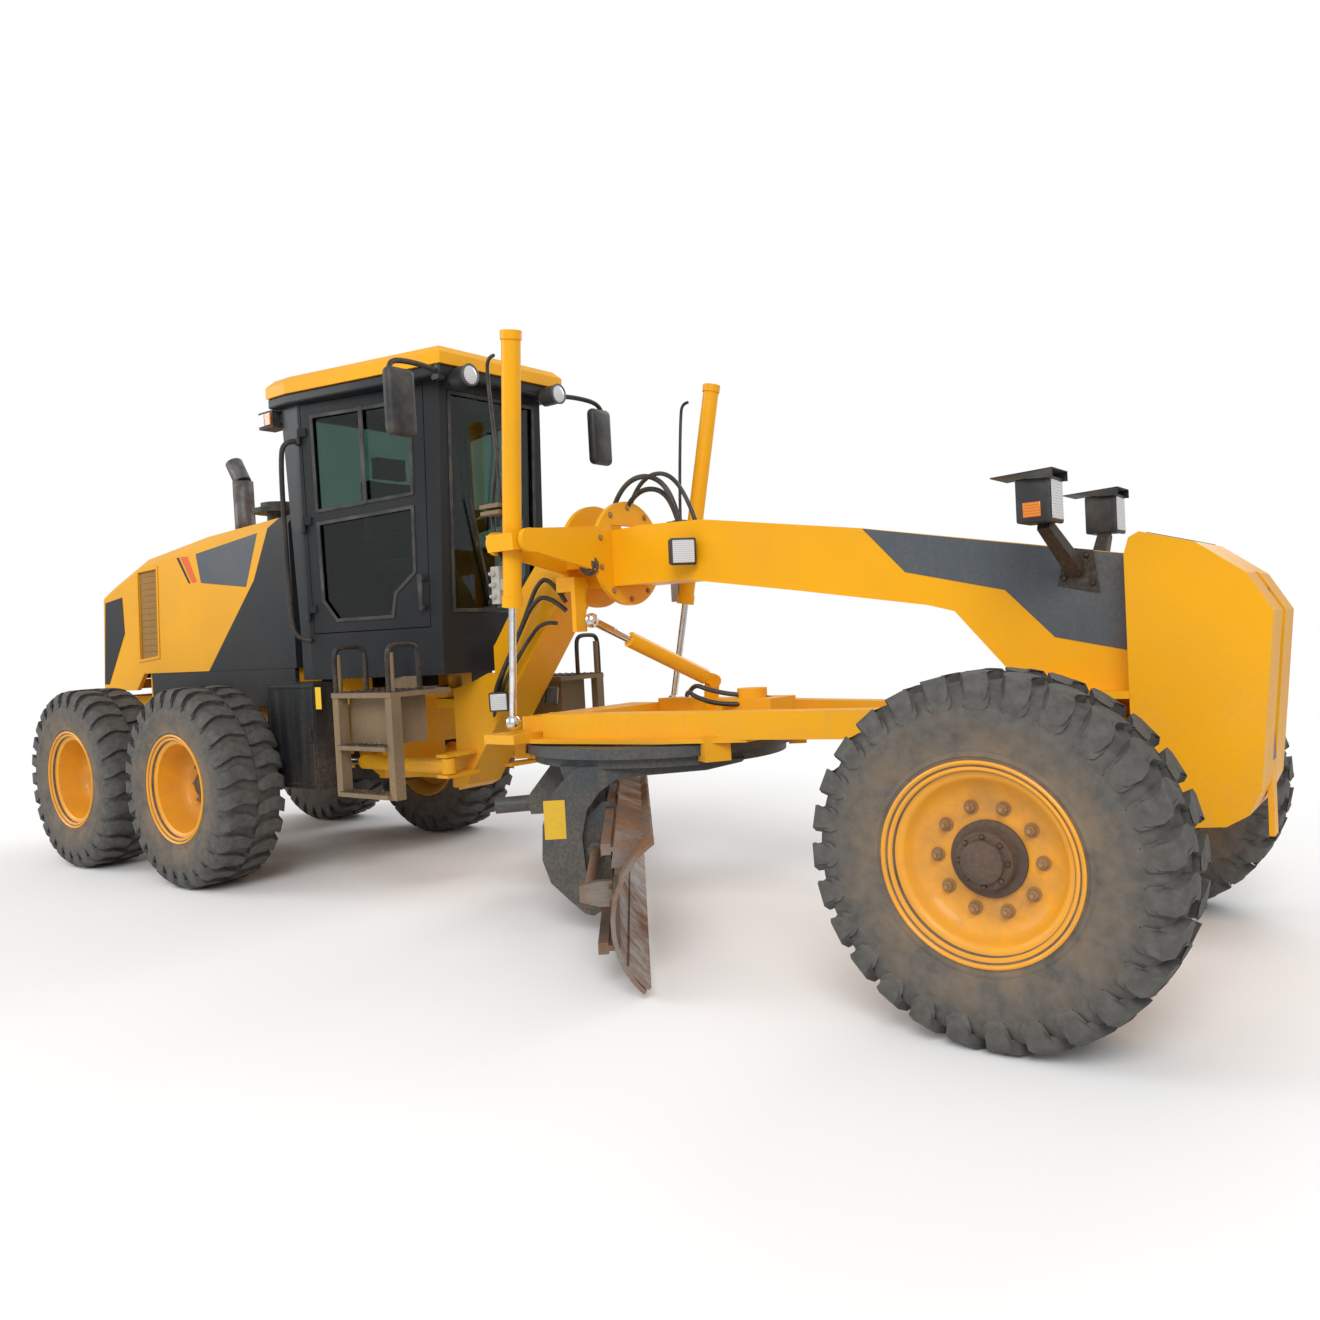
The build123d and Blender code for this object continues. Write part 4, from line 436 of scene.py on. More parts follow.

# %% [markdown]
# ## Helpers for new pieces
# Every new piece is made in a bmesh from Blender's own shapes and operators, then kept: it gets
# its finish and rides on a body of the machine.

# %% Keep a piece, add boxes, plates, frames, turned shapes, rods and tubes
SHARP = math.radians(38)
SAME_POINT = 0.00002
SIDES = {"right": -1, "left": 1}
AXES = {"x": (1, 0, 0), "y": (0, 1, 0), "z": (0, 0, 1)}
OUT_OF_PLANE = {
    "x": lambda a, b, d: (d, a, b), "y": lambda a, b, d: (a, d, b), "z": lambda a, b, d: (a, b, d),
}


def claim(piece, body, replaces):
    bpy.context.scene.collection.objects.link(piece)
    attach(piece, body)
    if replaces:
        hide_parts(*replaces)
    return piece


def keep(shape, name, body, finish, replaces=(), bevel=0.0, smooth=True, segments=2):
    bmesh.ops.remove_doubles(shape, verts=shape.verts, dist=SAME_POINT)
    bmesh.ops.recalc_face_normals(shape, faces=shape.faces)
    mesh = bpy.data.meshes.new(name)
    shape.to_mesh(mesh)
    shape.free()
    mesh.materials.append(finish)
    if smooth:
        mesh.shade_smooth()
        mesh.set_sharp_from_angle(angle=SHARP)
    piece = bpy.data.objects.new(name, mesh)
    if bevel:
        rounding = piece.modifiers.new("rounding", "BEVEL")
        rounding.width = bevel
        rounding.segments = segments
        rounding.limit_method = "ANGLE"
        rounding.angle_limit = SHARP
    return claim(piece, body, replaces)


def round_edges(shape, edges, offset, segments):
    bmesh.ops.bevel(shape, geom=edges, offset=offset, affect="EDGES", segments=segments, profile=0.5,
                    material=-1)


def add_box(shape, low, high):
    made = bmesh.ops.create_cube(shape, size=1.0)["verts"]
    low, high = Vector(low), Vector(high)
    middle = (low + high) / 2
    for vert in made:
        vert.co = Vector(vert.co[i] * (high[i] - low[i]) for i in range(3)) + middle
    return made


def side_box(shape, side, x, y, z):
    """A box with x and z as (low, high), and y as (distance from the middle, half width)."""
    add_box(shape, (x[0], side * y[0] - y[1], z[0]), (x[1], side * y[0] + y[1], z[1]))


def box_piece(name, body, finish, side, x, y, z, bevel):
    shape = bmesh.new()
    side_box(shape, side, x, y, z)
    keep(shape, name, body, finish, bevel=bevel)


def add_sheet(shape, outline, near, far, across):
    place = OUT_OF_PLANE[across]
    corners = [shape.verts.new(place(a, b, near)) for a, b in outline]
    return corners, shape.faces.new(corners), Vector(place(0, 0, far)) - Vector(place(0, 0, near))


def raise_faces(shape, faces, shift):
    raised = bmesh.ops.extrude_face_region(shape, geom=faces)["geom"]
    moved = [item for item in raised if isinstance(item, bmesh.types.BMVert)]
    bmesh.ops.translate(shape, verts=moved, vec=shift)
    return moved


def add_plate(shape, outline, near, far, across="y"):
    """Extrude a flat outline between two planes; it is given in the plane's other two axes."""
    corners, sheet, shift = add_sheet(shape, outline, near, far, across)
    return corners + raise_faces(shape, [sheet], shift)


def plate_piece(name, body, finish, outline, near, far, across="y", bevel=0.0):
    shape = bmesh.new()
    add_plate(shape, outline, near, far, across)
    keep(shape, name, body, finish, bevel=bevel)


def add_frame(shape, outline, near, far, width, across="y"):
    """A flat frame: the outline's face is inset, its middle taken out, the rest thickened."""
    corners, sheet, shift = add_sheet(shape, outline, near, far, across)
    shape.normal_update()
    rim = bmesh.ops.inset_region(shape, faces=[sheet], thickness=width, use_even_offset=True,
                                 use_boundary=True)["faces"]
    bmesh.ops.delete(shape, geom=[sheet], context="FACES_ONLY")
    moved = raise_faces(shape, rim, shift)
    return [vert for face in rim for vert in face.verts] + moved


def rectangle(low_a, low_b, high_a, high_b):
    return [(low_a, low_b), (high_a, low_b), (high_a, high_b), (low_a, high_b)]


def add_turned(shape, profile, centre, axis, steps, closed=False):
    """Spin a profile of (radius, distance along the axis) round an axis through the centre."""
    centre = Vector(centre)
    along = Vector(AXES[axis] if isinstance(axis, str) else axis).normalized()
    outward = along.orthogonal().normalized()
    points = [shape.verts.new(centre + outward * radius + along * reach) for radius, reach in profile]
    edges = [shape.edges.new((a, b)) for a, b in zip(points, points[1:])]
    if closed:
        edges.append(shape.edges.new((points[-1], points[0])))
    bmesh.ops.spin(shape, geom=points + edges, cent=centre, axis=along, angle=math.tau, steps=steps,
                   use_merge=True, use_normal_flip=False, use_duplicate=False)


def add_rod(shape, start, run, radius, end_radius, steps, part=1.0):
    """A rod from the start along part of the run, as thick at its end as end_radius says."""
    length = run.length * part
    profile = [(0, 0), (radius, 0), (end_radius, length), (0, length)]
    add_turned(shape, profile, start, run.normalized(), steps)


def add_bolt(shape, centre, axis, across, tall):
    add_turned(shape, [(0, tall), (across * 0.8, tall), (across, tall * 0.8), (across, 0)], centre, axis, 6)
    add_turned(shape, [(across * 1.3, 0.003), (across * 1.3, 0)], centre, axis, 12)


def bent_tube(name, body, route, radius, finish, replaces=()):
    curve = bpy.data.curves.new(name, "CURVE")
    curve.dimensions = "3D"
    line = curve.splines.new("NURBS")
    line.points.add(len(route) - 1)
    for point, place in zip(line.points, route):
        point.co = (*place, 1)
    line.order_u = 3
    line.use_endpoint_u = True
    line.resolution_u = 6
    curve.bevel_depth = radius
    curve.bevel_resolution = 3
    curve.use_fill_caps = True
    curve.materials.append(finish)
    claim(bpy.data.objects.new(name, curve), body, replaces)


def on_side(route, side):
    return [(x, side * y, z) for x, y, z in route]


# %% [markdown]
# ## Tyres with wavy lugs
# A grader's tyre has two rings of heavy lugs that meet half a pitch apart. One lug starts as a
# block, is bent along the crown and down the shoulder by a short table of stations, and is
# copied round the carcass, which is a spun profile with the two rings a mould leaves on its side.

# %% One lug, then a whole tyre
LUG_COUNT = 27
TREAD_RADIUS = 0.66
FOOT_FLARE = 1.18
WALL_LIMIT = 0.2222
LUG_STATIONS = [
    # across, top radius, foot radius, sideways sway, half width
    (0.010, 0.664, 0.615, 0.018, 0.027),
    (0.050, 0.668, 0.620, 0.006, 0.034),
    (0.095, 0.667, 0.620, -0.012, 0.038),
    (0.140, 0.664, 0.615, -0.010, 0.041),
    (0.180, 0.654, 0.605, 0.010, 0.044),
    (0.208, 0.630, 0.590, 0.024, 0.044),
    (0.2175, 0.590, 0.560, 0.026, 0.040),
    (0.2160, 0.548, 0.538, 0.022, 0.030),
]
CARCASS = [
    # radius, distance from the tyre's middle
    (0.322, 0.150), (0.322, 0.186), (0.345, 0.196), (0.362, 0.199), (0.372, 0.200), (0.378, 0.206),
    (0.388, 0.206), (0.394, 0.203), (0.440, 0.214), (0.480, 0.2185), (0.500, 0.2225), (0.512, 0.2205),
    (0.540, 0.216), (0.575, 0.208), (0.602, 0.196), (0.622, 0.176), (0.632, 0.140), (0.636, 0.080),
    (0.637, 0.0),
]
WHEELS = [(axle, side_name, side) for axle in AXLE_X for side_name, side in SIDES.items()]


def one_lug():
    shape = bmesh.new()
    bmesh.ops.create_cube(shape, size=1.0, matrix=Matrix.Translation((0.5, 0, 0.5)))
    long_edges = [edge for edge in shape.edges if abs(edge.verts[0].co.x - edge.verts[1].co.x) > 0.5]
    bmesh.ops.subdivide_edges(shape, edges=long_edges, cuts=len(LUG_STATIONS) - 2, use_grid_fill=True)
    for vert in shape.verts:
        across, top, foot, sway, half = LUG_STATIONS[round(vert.co.x * (len(LUG_STATIONS) - 1))]
        radius, flare = (top, 1.0) if vert.co.z > 0.5 else (foot, FOOT_FLARE)
        around = (sway + vert.co.y * 2 * half * flare) / TREAD_RADIUS
        vert.co = (radius * math.sin(around), across, radius * math.cos(around))
    edges = [edge for edge in shape.edges if edge.is_manifold and edge.calc_face_angle() > 0.7
             and max(v.co.xz.length for v in edge.verts) > 0.56]
    round_edges(shape, edges, 0.006, 1)
    for vert in shape.verts:
        shrink = min(1.0, WHEEL_Z / vert.co.xz.length)
        vert.co = (vert.co.x * shrink, max(-WALL_LIMIT, min(WALL_LIMIT, vert.co.y)), vert.co.z * shrink)
    mesh = bpy.data.meshes.new("lug_pattern")
    shape.to_mesh(mesh)
    shape.free()
    return mesh


lug_pattern = one_lug()


def build_tyre(axle, side_name, side):
    shape = bmesh.new()
    profile = CARCASS + [(radius, -y) for radius, y in reversed(CARCASS[:-1])]
    add_turned(shape, profile, (0, 0, 0), "y", 120, closed=True)
    for flank in (-1, 1):
        for place in range(LUG_COUNT):
            before = set(shape.verts)
            shape.from_mesh(lug_pattern)
            fresh = [vert for vert in shape.verts if vert not in before]
            around = math.tau * (place + (0.5 if flank > 0 else 0)) / LUG_COUNT
            turn = Matrix.Rotation(around, 3, "Y")
            for vert in fresh:
                vert.co = turn @ Vector((vert.co.x, vert.co.y * flank, vert.co.z))
    bmesh.ops.translate(shape, verts=shape.verts, vec=(AXLE_X[axle], side * WHEEL_Y, WHEEL_Z))
    keep(shape, f"road_tyre_{axle}_{side_name}", f"wheel_{axle}_{side_name}", rubber_of[axle],
         replaces=(f"tyre_{axle}_{side_name}",))


for wheel in WHEELS:
    build_tyre(*wheel)
print("lugs on each tyre", 2 * LUG_COUNT)

# %% [markdown]
# ## Rims with their locking ring, nuts and hub
# The rim is a spun profile: flange lip, locking ring, well and a dished disc. The front disc
# stands near the outside and the driven wheels' disc sits deep, so the profile takes its depth
# as a number. Ten nuts with washers and a stud hold each disc to its hub.

# %% Rim, nuts and hub of each wheel
DISC_DEPTH = {"front": 0.085, "mid": -0.070, "rear": -0.070}
DISC_THICK = 0.02
NUT_STACK = [
    # washer, nut and stud: a profile and its number of sides
    ([(0.026, 0.0), (0.026, 0.004), (0.0, 0.004)], 16),
    ([(0.019, 0.004), (0.019, 0.020), (0.016, 0.024), (0.0, 0.024)], 6),
    ([(0.009, 0.02), (0.009, 0.036), (0.007, 0.038), (0.0, 0.038)], 10),
]
HUB_PROFILE = [
    # radius, distance outwards from the disc
    (0.138, 0.001), (0.138, 0.014), (0.132, 0.018), (0.112, 0.018), (0.106, 0.026), (0.103, 0.058),
    (0.097, 0.064), (0.078, 0.066), (0.075, 0.088), (0.068, 0.094), (0.030, 0.098), (0.0, 0.099),
]


def rim_profile(disc):
    outside = [(0.06, disc), (0.150, disc), (0.215, disc + 0.004), (0.258, disc + 0.018),
               (0.280, disc + 0.045), (0.290, min(disc + 0.09, 0.15)), (0.296, 0.160), (0.306, 0.168),
               (0.322, 0.172), (0.327, 0.180), (0.325, 0.190), (0.331, 0.197), (0.340, 0.196), (0.343, 0.190),
               (0.347, 0.191), (0.349, 0.203), (0.356, 0.209), (0.363, 0.205), (0.364, 0.196),
               (0.350, 0.186), (0.323, 0.180)]
    inside = [(0.323, -0.180), (0.350, -0.186), (0.364, -0.196), (0.363, -0.205), (0.356, -0.209),
              (0.345, -0.200), (0.325, -0.188), (0.304, -0.165), (0.296, disc - 0.07), (0.282, disc - 0.035),
              (0.225, disc - DISC_THICK), (0.06, disc - DISC_THICK)]
    return outside + inside


def spots_round(centre, side, reach, radius, count, first):
    """Points on a circle round the axle, at a distance outwards from the wheel's middle."""
    for place in range(count):
        around = math.tau * (place + first) / count
        yield centre + Vector((radius * math.sin(around), side * reach, radius * math.cos(around)))


def build_rim(axle, side_name, side):
    disc = DISC_DEPTH[axle]
    centre = Vector((AXLE_X[axle], side * WHEEL_Y, WHEEL_Z))
    outwards, body = (0, side, 0), f"wheel_{axle}_{side_name}"
    shape = bmesh.new()
    add_turned(shape, rim_profile(disc), centre, outwards, 96, closed=True)
    keep(shape, f"dished_rim_{axle}_{side_name}", body, rim_paint_of[axle],
         replaces=(f"rim_{axle}_{side_name}",))
    shape = bmesh.new()
    for spot in spots_round(centre, side, disc + 0.004, 0.190, 10, 0.5):
        for profile, steps in NUT_STACK:
            add_turned(shape, profile, spot, outwards, steps)
    keep(shape, f"wheel_nuts_{axle}_{side_name}", body, nut_steel)
    shape = bmesh.new()
    add_turned(shape, [(radius, disc + reach) for radius, reach in HUB_PROFILE], centre, outwards, 64)
    for spot in spots_round(centre, side, disc + 0.065, 0.088, 8, 0):
        add_bolt(shape, spot, outwards, 0.008, 0.008)
    keep(shape, f"hub_cover_{axle}_{side_name}", body, hub_cast)


nut_steel = dusty_paint("nut_steel", (0.36, 0.22, 0.10), 0.5, 0.8, 0.6, coat=0.0,
                        dust=(0.30, 0.15, 0.07), reach=(0, 3))
hub_cast = dusty_paint("hub_casting", (0.075, 0.06, 0.052), 0.6, 0.55, 0.4, coat=0.0,
                       dust=(0.22, 0.12, 0.06), reach=(0, 3))
for wheel in WHEELS:
    build_rim(*wheel)
print("rims and nuts", len(WHEELS))

# %% [markdown]
# ## Dark fields, stripes and the vent on the hood
# The housing's side is not one yellow plate: a dark panel closes its rear corner, a slate field
# with a slanted orange stripe sits high on the side, and a tall recess takes in air. Each is a
# thin plate cut to its outline, so its edge stays crisp at any size.

# %% Plates, decals, vent and tail lamps of the hood
slate_field = dusty_paint("slate_field", (0.075, 0.095, 0.115), 0.35, 0.35, 0.2)
orange_stripe = dusty_paint("orange_stripe", (0.80, 0.13, 0.015), 0.4, 0.3, 0.15)
blank_label = dusty_paint("blank_label", (0.90, 0.55, 0.02), 0.4, 0.4, 0.25)
black_steel = dusty_paint("black_steel", (0.016, 0.016, 0.018), 0.5, 0.75, 0.2, coat=0.1)
sandy_steel = dusty_paint("sandy_steel", (0.20, 0.145, 0.085), 0.6, 0.9, 0.7, coat=0.0,
                          dust=(0.30, 0.20, 0.11), reach=(0.6, 1.6))
vent_screen = dusty_paint("vent_screen", (0.34, 0.17, 0.03), 0.7, 0.6, 0.5, coat=0.0, reach=(0, 3))
block_metal = dusty_paint("block_metal", (0.42, 0.42, 0.40), 0.45, 0.5, 0.3, coat=0.0)

HOOD_SIDE, VENT_SIDE = 0.550, 0.5375
LIFT_OFF, DECAL = 0.0003, 0.0012
REAR_PANEL = [(-4.185, 2.03), (-3.89, 2.06), (-3.883, 1.764), (-4.205, 1.345), (-4.285, 1.345)]
SLATE_OUTLINE = [(-2.702, 2.314), (-1.862, 2.388), (-2.044, 2.019), (-2.65, 2.091)]
STRIPE_OUTLINE = [(-2.931, 2.311), (-2.82, 2.305), (-2.706, 2.102), (-2.779, 2.1)]
THIN_STRIPE = [(-2.985, 2.308), (-2.950, 2.309), (-2.800, 2.100), (-2.828, 2.1)]
VENT_OUTLINE = [(-3.60, 2.24), (-3.30, 2.25), (-3.35, 1.56), (-3.65, 1.535)]
VENT_BEAD = [(a + (0.02 if a > -3.4 else -0.02), b + (0.02 if b > 2 else -0.02)) for a, b in VENT_OUTLINE]
for side_name, side in SIDES.items():
    for name, outline, finish, slot, proud, bevel in (
        ("rear_side_panel", REAR_PANEL, cab_grey, "dark_paint", 0.004, 0.002),
        ("slate_decal", SLATE_OUTLINE, slate_field, "dark_paint", DECAL, 0),
        ("wide_stripe", STRIPE_OUTLINE, orange_stripe, "yellow_paint", DECAL, 0),
        ("thin_stripe", THIN_STRIPE, cab_grey, "dark_paint", DECAL, 0),
    ):
        plate_piece(f"{name}_{side_name}", "machine", finish, outline,
                    side * (HOOD_SIDE + LIFT_OFF), side * (HOOD_SIDE + proud), bevel=bevel)
    plate_piece(f"vent_screen_{side_name}", "machine", vent_screen, VENT_OUTLINE,
                side * 0.5355, side * 0.5370)
    shape = bmesh.new()
    for row in range(13):
        z = 1.60 + row * 0.05
        lean = (z - 1.55) * 0.072
        side_box(shape, side, (-3.635 + lean, -3.365 + lean), (VENT_SIDE, 0.003), (z, z + 0.012))
    keep(shape, f"vent_slats_{side_name}", "machine", vent_screen)
    shape = bmesh.new()
    add_frame(shape, VENT_BEAD, side * (HOOD_SIDE + LIFT_OFF), side * (HOOD_SIDE + 0.007), 0.022)
    keep(shape, f"vent_bead_{side_name}", "machine", machine_yellow, bevel=0.003)
    box_piece(f"tail_lens_{side_name}", "machine", red_lens, side,
              (-4.344, -4.325), (0.545, 0.035), (1.20, 1.235), 0.004)
dress("ladders", sandy_steel)
dress("cab_lamps", black_plastic)
dress("air_precleaner", black_plastic)
print("hood dressed")

# %% [markdown]
# ## The dark band on the beam
# A dark field runs from the beam's upper edge to the nose. Its lower edge steps down in one
# slant, which is what the eye reads as this machine's livery. It carries no words.

# %% Band, front lamps on their struts, and work lamps
BEAM_SIDE, LAMP_Y = 0.150, 0.48
BAND_OUTLINE = [(2.626, 1.976), (2.835, 1.752), (3.301, 1.637), (3.508, 1.421), (3.800, 1.356),
                (3.800, 1.754), (3.55, 1.799)]
STRUT_FOOT = [(3.53, 1.64), (3.70, 1.60), (3.68, 1.78), (3.57, 1.80)]
STRUT_BOLTS = [(3.56, 1.67), (3.675, 1.64), (3.655, 1.76), (3.585, 1.775)]
LAMP_VISOR = [(3.41, 2.078), (3.655, 2.090), (3.655, 2.086), (3.41, 2.073)]
WORK_LAMPS = [
    # name, place, aim, half size, foot
    ("beam_lamp", (1.62, 0.235, 1.955), (1, 0.75, -0.05), 0.072, (1.58, 0.152, 1.93)),
    ("neck_lamp", (0.17, 0.245, 1.160), (0.75, 1.0, -0.15), 0.060, (0.16, 0.152, 1.15)),
]
LAMP_FLANGE = [(0, -0.01), (0.022, -0.01), (0.022, 0.004), (0, 0.004)]
VISOR_CHEEK = [(3.46, 2.076), (3.655, 2.088), (3.655, 2.050), (3.56, 2.055)]
for side_name, side in SIDES.items():
    plate_piece(f"beam_band_{side_name}", "front_section", slate_field, BAND_OUTLINE,
                side * (BEAM_SIDE + LIFT_OFF), side * (BEAM_SIDE + 0.0018))
    shape = bmesh.new()
    add_plate(shape, STRUT_FOOT, side * (BEAM_SIDE + 0.0025), side * (BEAM_SIDE + 0.0085))
    for a, b in STRUT_BOLTS:
        add_bolt(shape, (a, side * (BEAM_SIDE + 0.0085), b), (0, side, 0), 0.010, 0.009)
    foot, head = Vector((3.61, side * 0.158, 1.70)), Vector((3.575, side * 0.455, 1.885))
    add_rod(shape, foot, head - foot, 0.046, 0.036, 4)
    keep(shape, f"lamp_strut_{side_name}", "front_section", black_steel, bevel=0.003)
    shape = bmesh.new()
    side_box(shape, side, (3.50, 3.625), (LAMP_Y, 0.080), (1.885, 2.060))
    side_box(shape, side, (3.618, 3.640), (LAMP_Y, 0.084), (1.881, 2.064))
    round_edges(shape, list(shape.edges), 0.008, 2)
    add_plate(shape, LAMP_VISOR, side * LAMP_Y - 0.10, side * LAMP_Y + 0.10)
    for end in (-1, 1):
        add_plate(shape, VISOR_CHEEK, side * LAMP_Y + end * 0.097, side * LAMP_Y + end * 0.100)
    side_box(shape, side, (3.53, 3.58), (LAMP_Y, 0.02), (2.05, 2.082))
    keep(shape, f"front_lamp_{side_name}", "front_section", black_plastic,
         replaces=("front_lamps",) if side < 0 else ())
    box_piece(f"front_lamp_lens_{side_name}", "front_section", white_lens, side,
              (3.636, 3.643), (LAMP_Y, 0.068), (1.895, 2.048), 0.004)
    shape = bmesh.new()
    add_box(shape, (3.53, side * 0.558, 1.905), (3.60, side * 0.566, 1.965))
    keep(shape, f"side_marker_{side_name}", "front_section", amber_lens, bevel=0.003)


def work_lamp(name, place, aim, body, size, foot):
    """Round-cornered work lamp on a foot: shell, rim and ribbed lens, turned towards its aim."""
    turn = Vector(aim).normalized().to_track_quat("X", "Z").to_matrix()
    place = Vector(place)
    for part, back, front, half, finish, round_by in (
        ("shell", -0.055, 0.0, size * 0.9, black_plastic, 0.02),
        ("rim", -0.004, 0.016, size, black_plastic, 0.008),
        ("lens", 0.010, 0.020, size * 0.84, white_lens, 0.006),
    ):
        shape = bmesh.new()
        for vert in add_box(shape, (back, -half, -half), (front, half, half)):
            vert.co = place + turn @ vert.co
        if part == "shell":
            run = Vector(foot) - place
            add_rod(shape, place, run, 0.012, 0.012, 8)
            add_turned(shape, LAMP_FLANGE, foot, run.normalized(), 12)
        keep(shape, f"{name}_{part}", body, finish, bevel=round_by, segments=3)


for side_name, side in SIDES.items():
    for name, place, aim, size, foot in WORK_LAMPS:
        place, aim, foot = on_side((place, aim, foot), side)
        work_lamp(f"{name}_{side_name}", place, aim, "front_section", size, foot)
print("beam dressed")

# %% [markdown]
# ## Round lamps under the roof, mirrors and rails
# The cab's edge carries two round lamps in front and two boxes behind. The mirrors are moulded
# shells on bent tubes, so they are made of softly bevelled blocks and NURBS tubes, and they
# replace the plain CAD blocks.

# %% Cab trim
CAB_FRONT_X, CAB_FRONT_HALF = -0.07, 0.454
CAB_WIDENS = 0.705 - CAB_FRONT_HALF
WINDSCREEN_FOOT_Z, WINDSCREEN_LEAN = 1.59, 0.08 / 1.61
MIRROR_Y, REAR_LAMP_Y, REAR_LAMP_Z = 0.865, 0.755, (3.035, 3.115)
ROOF_SKIRT = [(0.118, -0.53), (0.118, 0.53), (-1.10, 0.77), (-1.31, 0.77), (-1.31, -0.77), (-1.10, -0.77)]
UPPER_PANE = [(-0.215, 2.460), (-0.200, 3.050), (-0.970, 3.050), (-0.965, 2.420)]
LOWER_PANE = [(-0.220, 2.400), (-0.962, 2.360), (-0.955, 1.850), (-0.850, 1.710), (-0.410, 1.710),
              (-0.380, 1.860), (-0.230, 1.980)]
HANDLE_BARS = [
    # low and high corner, y from the wall's face
    ((-0.590, 0.000, 2.44), (-0.560, 0.010, 3.06)), ((-0.195, 0.004, 1.93), (-0.160, 0.040, 1.96)),
    ((-0.195, 0.004, 1.75), (-0.160, 0.040, 1.78)), ((-0.192, 0.030, 1.74), (-0.163, 0.045, 1.97)),
]
GRAB_RAIL = [(-1.10, 0.705, 2.90), (-1.13, 0.775, 2.90), (-1.165, 0.785, 2.78), (-1.165, 0.785, 2.20),
             (-1.150, 0.785, 1.74), (-1.12, 0.780, 1.62), (-1.06, 0.705, 1.60)]
MIRROR_ARM = [(0.08, 0.500, 3.150), (0.10, 0.560, 3.165), (0.12, 0.760, 3.168), (0.13, 0.900, 3.150),
              (0.15, 0.925, 3.060), (0.16, 0.900, 2.980), (0.16, 0.870, 2.900)]
LAMP_RIM = [(0.0, -0.045), (0.052, -0.040), (0.064, -0.010), (0.067, 0.006), (0.060, 0.010), (0.056, 0.004),
            (0.0, 0.003)]
LAMP_GLASS = [(0.056, 0.0035), (0.040, 0.009), (0.020, 0.012), (0.0, 0.013)]


def on_wall(verts, side):
    """Move vertices from the middle plane onto the cab's wall, which stands wider at its rear."""
    for vert in set(verts):
        wall = CAB_FRONT_HALF + CAB_WIDENS * (CAB_FRONT_X - vert.co.x)
        vert.co.y = side * (wall + vert.co.y)


shape = bmesh.new()
add_frame(shape, [(a, b * 0.985) for a, b in ROOF_SKIRT], 3.135, 3.1995, 0.075, "z")
keep(shape, "roof_skirt", "machine", cab_grey, bevel=0.012, segments=3)
for side_name, side in SIDES.items():
    door = f"cab_door_{side_name}"
    shape = bmesh.new()
    for outline in (UPPER_PANE, LOWER_PANE):
        on_wall(add_frame(shape, outline, 0.001, 0.006, 0.022), side)
    keep(shape, f"door_gasket_{side_name}", door, black_plastic, bevel=0.002)
    shape = bmesh.new()
    for low, high in HANDLE_BARS:
        on_wall(add_box(shape, low, high), side)
    keep(shape, f"door_handle_{side_name}", door, black_plastic, bevel=0.005)
    bent_tube(f"grab_rail_{side_name}", "machine", on_side(GRAB_RAIL, side), 0.017, black_steel)
    bent_tube(f"mirror_arm_{side_name}", "machine", on_side(MIRROR_ARM, side), 0.016, black_steel,
              replaces=("mirrors",) if side < 0 else ())
    shape = bmesh.new()
    side_box(shape, side, (0.118, 0.195), (MIRROR_Y, 0.100), (2.72, 3.105))
    round_edges(shape, list(shape.edges), 0.036, 4)
    add_box(shape, (0.050, side * 0.48, 3.110), (0.110, side * 0.53, 3.1995))
    keep(shape, f"mirror_shell_{side_name}", "machine", black_plastic)
    plate_piece(f"mirror_glass_{side_name}", "machine", rod_chrome,
                rectangle(side * MIRROR_Y - 0.070, 2.765, side * MIRROR_Y + 0.070, 3.060), 0.1175, 0.1160,
                "x", bevel=0.001)
    for part, profile, finish in (("rim", LAMP_RIM, grey_plastic), ("lens", LAMP_GLASS, white_lens)):
        shape = bmesh.new()
        add_turned(shape, profile, (0.229, side * 0.385, 3.13), "x", 40)
        keep(shape, f"roof_lamp_{part}_{side_name}", "machine", finish)
    for part, x, finish in (("lens", (-1.425, -1.365), white_lens), ("amber", (-1.355, -1.295), amber_lens)):
        box_piece(f"rear_lamp_{part}_{side_name}", "machine", finish, side,
                  x, (REAR_LAMP_Y, 0.006), REAR_LAMP_Z, 0.003)
shape = bmesh.new()
add_frame(shape, [(-0.372, 1.725), (0.372, 1.725), (0.376, 3.085), (-0.376, 3.085)], 0.001, 0.007, 0.024, "x")
for vert in shape.verts:
    vert.co.x += CAB_FRONT_X + (vert.co.z - WINDSCREEN_FOOT_Z) * WINDSCREEN_LEAN
keep(shape, "front_gasket", "machine", black_plastic, bevel=0.002)
for side_name, side in SIDES.items():
    foot, tip = Vector((-0.050, side * 0.05, 1.78)), Vector((-0.012, side * 0.22, 2.45))
    run = tip - foot
    shape = bmesh.new()
    add_rod(shape, foot, run, 0.009, 0.005, 8, part=0.7)
    add_turned(shape, [(0, 0), (0.022, 0), (0.020, 0.025), (0, 0.028)], foot - Vector((0.012, 0, 0)), "x", 16)
    add_rod(shape, foot + run * 0.35 + Vector((0.0, side * 0.004, 0)), run, 0.007, 0.007, 4, part=0.62)
    keep(shape, f"front_wiper_{side_name}", "machine", black_plastic)
print("cab trimmed")

# %% [markdown]
# ## Treads and handrails at the cab's steps
# The steps are plain folded steel, grey with sand. Black studded treads are laid on them and two
# hooped rails stand over the platform.

